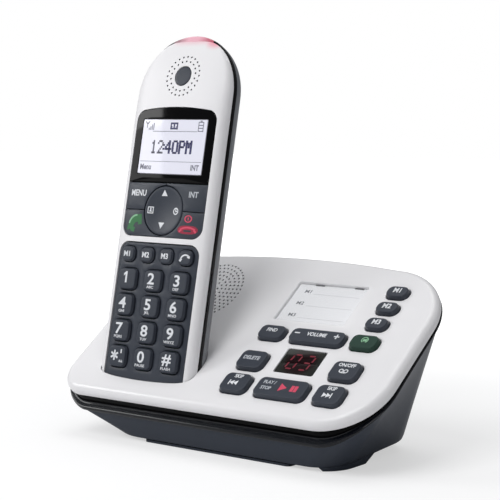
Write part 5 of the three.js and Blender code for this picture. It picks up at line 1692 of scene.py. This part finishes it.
class MACHINE_OT_upper_keys(bpy.types.Operator):
    """Make the navigation pad and the four keys round it, with their signs"""

    bl_idname = "machine.upper_keys"
    bl_label = "Upper keys"

    def execute(self, context):
        thickness = context.scene.machine_shapes.print_height / MM
        top = face(SPLIT)
        for name, side, rise in (("menu", -1, 1), ("intercom", 1, 1), ("talk", -1, -1), ("end", 1, -1)):
            mesh = plate(beside_pad_loop(side, rise), top, -3.4, 0.13, pitch=2.4).mesh(HANDSET)
            add_piece(name + "_key_cap", mesh, "slate_rubber", name + "_key", name + "_key")
        look = "slate_rubber"
        add_piece("navigation_pad", pad_mesh(), look, "navigation_key", "navigation_key")

        narrow = {"width": 0.88, "bold": 0.026}
        body, rim, slots = end_shapes(14.7, 75.9)
        # Key, end of the piece's name, letters, shapes, ink and share of the print's thickness.
        jobs = (
            ("menu", "sign", [("MENU", 3.7, -15.2, 90.9, narrow)], [], "white_ink", 1),
            ("intercom", "sign", [("INT", 3.5, 15.6, 91.0, narrow)], [], "soft_ink", 1),
            ("talk", "sign", [], receiver_shape(6.2, -15.4, 77.8, 42, 0.5, 0.72), "green_ink", 1),
            # The talk key's glint is a painted highlight along the receiver's upper edge.
            ("talk", "glint", [], [arc_shape(4.5, 0.75, 92, 170, -14.2, 76.6)], "pale_green_ink_and_glint", 1.6),
            ("end", "sign", [], body, "deep_red_ink", 1),
            # The end glint holds the power mark in red ink and a painted highlight along the receiver's top.
            ("end", "glint", [], rim, "red_ink", 1.6),
            ("end", "slot", [], slots, "slate_mat", 1.6),
        )
        for key, part, letters, shapes, ink, share in jobs:
            signs(f"{key}_{part}", letters, shapes, top, HANDSET, ink, key + "_key", thickness * share)
        marks = navigation_marks()
        signs("navigation_sign", [], marks, pad_height, HANDSET, "white_ink", "navigation_key", thickness)
        return {"FINISHED"}


GLYPHS = {
    "1": "00100 01100 00100 00100 00100 00100 01110",
    "2": "01110 10001 00001 00010 00100 01000 11111",
    "4": "00010 00110 01010 10010 11111 00010 00010",
    "0": "01110 10001 10001 10001 10001 10001 01110",
    "P": "11110 10001 10001 11110 10000 10000 10000",
    "M": "10001 11011 10101 10101 10001 10001 10001",
    ":": "0 0 1 0 1 0 0",
}


def cell_points(words, x, bold):
    """Centres of the dark cells of some words, each drawn again a share of a cell beside itself."""
    points = []
    for letter in words:
        rows = GLYPHS[letter].split()
        for r, row in enumerate(rows):
            for c, cell in enumerate(row):
                if cell == "1":
                    y = CLOCK_ROW - r * CELL_HEIGHT
                    points += [(x + (c + extra) * CELL_WIDTH, y, 0) for extra in (0, bold)]
        x += (len(rows[0]) + 1.1) * CELL_WIDTH
    return points


def status_shapes():
    """Lines of the display, its signal bars with their mast, and its battery."""
    lines = [box_shape(25, 0.26, 0.3, 118.1), box_shape(34.4, 0.2, 0, 104.9)]
    lines += [box_shape(0.45, 0.9 + 0.75 * k, -14.4 + 0.85 * k, 119.1 + 0.375 * k) for k in range(4)]
    lines += [box_shape(0.4, 2.6, -15.6, 120.9), *pair(0.4, 1.6, -15.6, 121.9, 0.7, turn=-35)]
    lines += [box_shape(2.5, 0.4, 14.6, 118.3 + 1.3 * k) for k in range(4)]
    lines += [*pair(0.4, 4.3, 14.6, 120.2, 1.3), box_shape(1.1, 0.4, 14.6, 122.7)]
    return lines


def tape_shapes(x, y):
    """The tape mark of the display."""
    shapes = pair(4.2, 0.75, x, y, 1.15, upright=True) + pair(0.7, 3.0, x, y, 1.75)
    return [*shapes, box_shape(0.8, 1.9, x, y), *pair(0.5, 0.5, x, y - 0.4, 1.2)]


class MACHINE_OT_display(bpy.types.Operator):
    """Make the gloss bezel and the handset's display"""

    bl_idname = "machine.display"
    bl_label = "Display"

    def execute(self, context):
        half, low, glass_top = FACE_HALF - GAP, SPLIT_ROW + SPLIT, -SCREEN_DEPTH

        def screen_loop(margin, corner):
            return rounded(SCREEN_WIDTH + 2 * margin, SCREEN_HEIGHT + 2 * margin, corner, 0, SCREEN_ROW)

        loop = upper_loop(GAP)
        loop = np.concatenate([[(half, low)], loop[loop[:, 1] > low + 1], [(-half, low)]])
        bezel = plate(loop, face(SPLIT), -2.6, 0.2, [screen_loop(0, 0.5)], 0.12, 2.2).mesh(HANDSET)
        pane = add_piece("gloss_bezel", bezel, "black_gloss", "handset", "display_bezel")
        levelled(pane, HANDSET, 0.92)
        glass = plate(screen_loop(-GAP, 0.4), glass_top, -3.4, 0.08)
        glass.loft([lifted(screen_loop(2, 0.6), height) for height in (-5.0, -3.2)])
        glass = glass.mesh(HANDSET)
        pane = add_piece("display_glass", glass, "display_face", "handset", "screen_module")
        levelled(pane, HANDSET, 1.0)
        clock = (
            ("clock_minutes", cell_points(":40PM", -5.0, 0.85), "display_ink"),
            # The hours are drawn thinner in a faint ink, which paints the reflection lying over them.
            ("clock_hours", cell_points("12", -11.8, 0.3), "faint_ink_and_reflection"),
        )
        for name, points, ink in clock:
            mesh = grown_from(cells_tree(), {"Width": 0.62, "Height": 0.86, "Depth": 0.03}, ink, points)
            settle(mesh, HANDSET @ Matrix.Translation((0, 0, glass_top + 0.01)), FINE_WELD)
            add_piece(name, mesh, ink, "handset")
        thick = {"width": 0.86, "bold": 0.03}
        words = [("Menu", 3.3, -13.6, 102.5, thick), ("INT", 3.3, 14.0, 102.5, thick)]
        signs("display_labels", words, status_shapes(), glass_top, HANDSET, "faint_ink_and_reflection", "handset")
        signs("display_tape", [], tape_shapes(-0.3, 120.5), glass_top, HANDSET, "display_ink", "handset")
        return {"FINISHED"}


class MACHINE_OT_earpiece(bpy.types.Operator):
    """Make the disc over the earpiece"""

    bl_idname = "machine.earpiece"
    bl_label = "Earpiece disc"

    def execute(self, context):
        disc = plate(circle(EAR_DISC, 0, EAR_ROW, 56), face(-0.1), -3.2, 0.3, pitch=1.2).mesh(HANDSET)
        add_piece("earpiece_plate", disc, "slate_rubber", "handset", "earpiece_disc")
        return {"FINISHED"}


# CAD nodes that keep their shape, by finish.
NODE_FINISHES = {
    "dark_plastic": ("base_speaker", "power_jack", "line_jack", "earpiece_speaker"),
    "circuit_board": ("base_board", "handset_board"),
    "foot_rubber": ("front_foot", "rear_foot"),
    "contact_metal": ("charge_contact_left", "charge_contact_right"),
    "white_shell": ("charging_cradle",),
    "cell_sleeve": ("battery_pack",),
}


class MACHINE_OT_inner_parts(bpy.types.Operator):
    """Give the parts inside, underneath and at the rear their finishes"""

    bl_idname = "machine.inner_parts"
    bl_label = "Inner parts"

    def execute(self, context):
        for name, nodes in NODE_FINISHES.items():
            for node in nodes:
                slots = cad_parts[node].data.materials
                slots.clear()
                slots.append(finish(name))
        return {"FINISHED"}


# Stage. Lamps and camera are in metres, the floor in millimetres.
# Lamps are name, setting, share of its strength, size, place, target and turn in degrees.

AIM, KEY_TURN = (-0.01, -0.02, 0.07), 19.6
LAMPS = (
    ("key_softbox", "key", 1.0, (0.39, 0.32), (-0.898, -0.585, 0.551), (-0.115, -0.037, 0.258), KEY_TURN),
    ("key_apron", "key", 0.13, (0.39, 0.1), (-0.905, -0.676, 0.362), (-0.122, -0.128, 0.069), KEY_TURN),
    ("high_softbox", "high", 1.0, (0.7, 0.9), (-0.1, -0.85, 1.05), AIM, 0),
    ("top_softbox", "top", 1.0, (0.9, 0.9), (0.0, 0.2, 1.3), AIM, 0),
    ("rear_softbox", "rear", 1.0, (0.7, 0.7), (-0.9, 0.35, 0.75), AIM, 0),
)
CAMERA_PLACE, CAMERA_DIRECTION = (0.3971, -0.51931, 0.1442), (-0.6079, 0.7885, -0.0938)
CAMERA_LENS, CAMERA_SENSOR, CAMERA_NEAR = 111.6, 36, 0.01
FLOOR_SIZE, FLOOR_THICKNESS = 6000, 12
WHITE, SKY = (1, 1, 1, 1), (0.96, 0.98, 1.0, 1)


def add_lamp(name, energy, size, place, target, turn):
    """A soft rectangular light turned to a point, and then round its own axis by degrees."""
    data = bpy.data.lights.new(name, "AREA")
    data.shape = "RECTANGLE"
    data.size, data.size_y = size
    data.energy = energy
    lamp = put(name, data)
    lamp.location = place
    aimed = (Vector(target) - Vector(place)).to_track_quat("-Z", "Y").to_matrix()
    lamp.rotation_euler = (aimed @ Matrix.Rotation(math.radians(turn), 3, "Z")).to_euler()


def plain_light(tree, kind, colour, strength):
    """The output of an Emission or Background shader."""
    node = tree.nodes.new(kind)
    node.inputs["Color"].default_value = colour
    node.inputs["Strength"].default_value = strength
    return node.outputs[0]


def mixed(tree, share, first, second, leave):
    """Ends a tree in a mix of two shaders."""
    mix = tree.nodes.new("ShaderNodeMixShader")
    for k, source in enumerate((share, first, second)):
        feed(tree, source, mix.inputs[k])
    feed(tree, mix.outputs[0], tree.nodes[leave].inputs["Surface"])


def floor_finish(levels):
    """Pale paper that the camera sees as white, except for the object's shadow near it."""
    material, tree, shader = principled("floor_paper")
    shader["Base Color"].default_value = levels.floor
    shader["Roughness"].default_value = 0.9
    shader["Specular IOR Level"].default_value = 0.1
    spot = shared(tree, "Soft spot", {"Centre": (0, 0, 0), "Inner": 0.12, "Outer": 0.45})
    far = math_node(tree, "SUBTRACT", 1.0, math_node(tree, "MULTIPLY", spot["Mask"], 0.6))
    seen = tree.nodes.new("ShaderNodeLightPath").outputs["Is Camera Ray"]
    glow = plain_light(tree, "ShaderNodeEmission", WHITE, levels.floor_glow)
    paper = tree.nodes["Principled BSDF"].outputs[0]
    mixed(tree, math_node(tree, "MULTIPLY", seen, far), paper, glow, "Material Output")
    return material


class MACHINE_OT_stage(bpy.types.Operator):
    """Make the floor, the lights, the surround and the camera"""

    bl_idname = "machine.stage"
    bl_label = "Stage"

    def execute(self, context):
        scene = context.scene
        levels = scene.machine_stage
        floor = put("floor", prism(rounded(FLOOR_SIZE, FLOOR_SIZE, 50), -FLOOR_THICKNESS, 0, BASE))
        floor.data.materials.append(floor_finish(levels))

        scene.world = bpy.data.worlds.new("surround")
        scene.world.use_nodes = True
        tree = scene.world.node_tree
        path = tree.nodes.new("ShaderNodeLightPath").outputs
        seen = math_node(tree, "MAXIMUM", path["Is Camera Ray"], path["Is Transmission Ray"])
        sky = plain_light(tree, "ShaderNodeBackground", SKY, levels.world)
        white = plain_light(tree, "ShaderNodeBackground", WHITE, 1.0)
        mixed(tree, seen, sky, white, "World Output")

        for name, setting, share, *rest in LAMPS:
            add_lamp(name, getattr(levels, setting) * share, *rest)

        data = bpy.data.cameras.new("camera")
        data.lens, data.sensor_width, data.clip_start = CAMERA_LENS, CAMERA_SENSOR, CAMERA_NEAR
        scene.camera = put("camera", data)
        scene.camera.location = CAMERA_PLACE
        scene.camera.rotation_euler = Vector(CAMERA_DIRECTION).to_track_quat("-Z", "Y").to_euler()
        scene.view_settings.view_transform = "Standard"
        return {"FINISHED"}


class MACHINE_PT_panel(bpy.types.Panel):
    """Lists the steps and settings of the machine"""

    bl_idname = "MACHINE_PT_panel"
    bl_label = "Answering Machine"
    bl_space_type = "VIEW_3D"
    bl_region_type = "UI"
    bl_category = "Machine"

    def draw(self, context):
        for step in STEPS:
            self.layout.operator(step.bl_idname, text=step.bl_label)
        scene = context.scene
        for group in (scene.machine_shapes, scene.machine_finishes, scene.machine_stage):
            for name in group.bl_rna.properties.keys():
                if name not in ("rna_type", "name"):
                    self.layout.prop(group, name)


STEPS = (
    MACHINE_OT_finishes, MACHINE_OT_cover, MACHINE_OT_lower, MACHINE_OT_base_keys, MACHINE_OT_window,
    MACHINE_OT_memo, MACHINE_OT_shells, MACHINE_OT_keypad, MACHINE_OT_upper_keys, MACHINE_OT_display,
    MACHINE_OT_earpiece, MACHINE_OT_inner_parts, MACHINE_OT_stage,
)
GROUPS = (MachineShapes, MachineFinishes, MachineStage)


def register():
    for item in (*GROUPS, *STEPS, MACHINE_PT_panel):
        bpy.utils.register_class(item)
    bpy.types.Scene.machine_shapes = bpy.props.PointerProperty(type=MachineShapes)
    bpy.types.Scene.machine_finishes = bpy.props.PointerProperty(type=MachineFinishes)
    bpy.types.Scene.machine_stage = bpy.props.PointerProperty(type=MachineStage)


def unregister():
    del bpy.types.Scene.machine_stage
    del bpy.types.Scene.machine_finishes
    del bpy.types.Scene.machine_shapes
    for item in reversed((*GROUPS, *STEPS, MACHINE_PT_panel)):
        bpy.utils.unregister_class(item)


def main():
    """Builds the whole machine."""
    register()
    for step in STEPS:
        group, name = step.bl_idname.split(".")
        getattr(getattr(bpy.ops, group), name)()


if __name__ == "__main__":
    main()
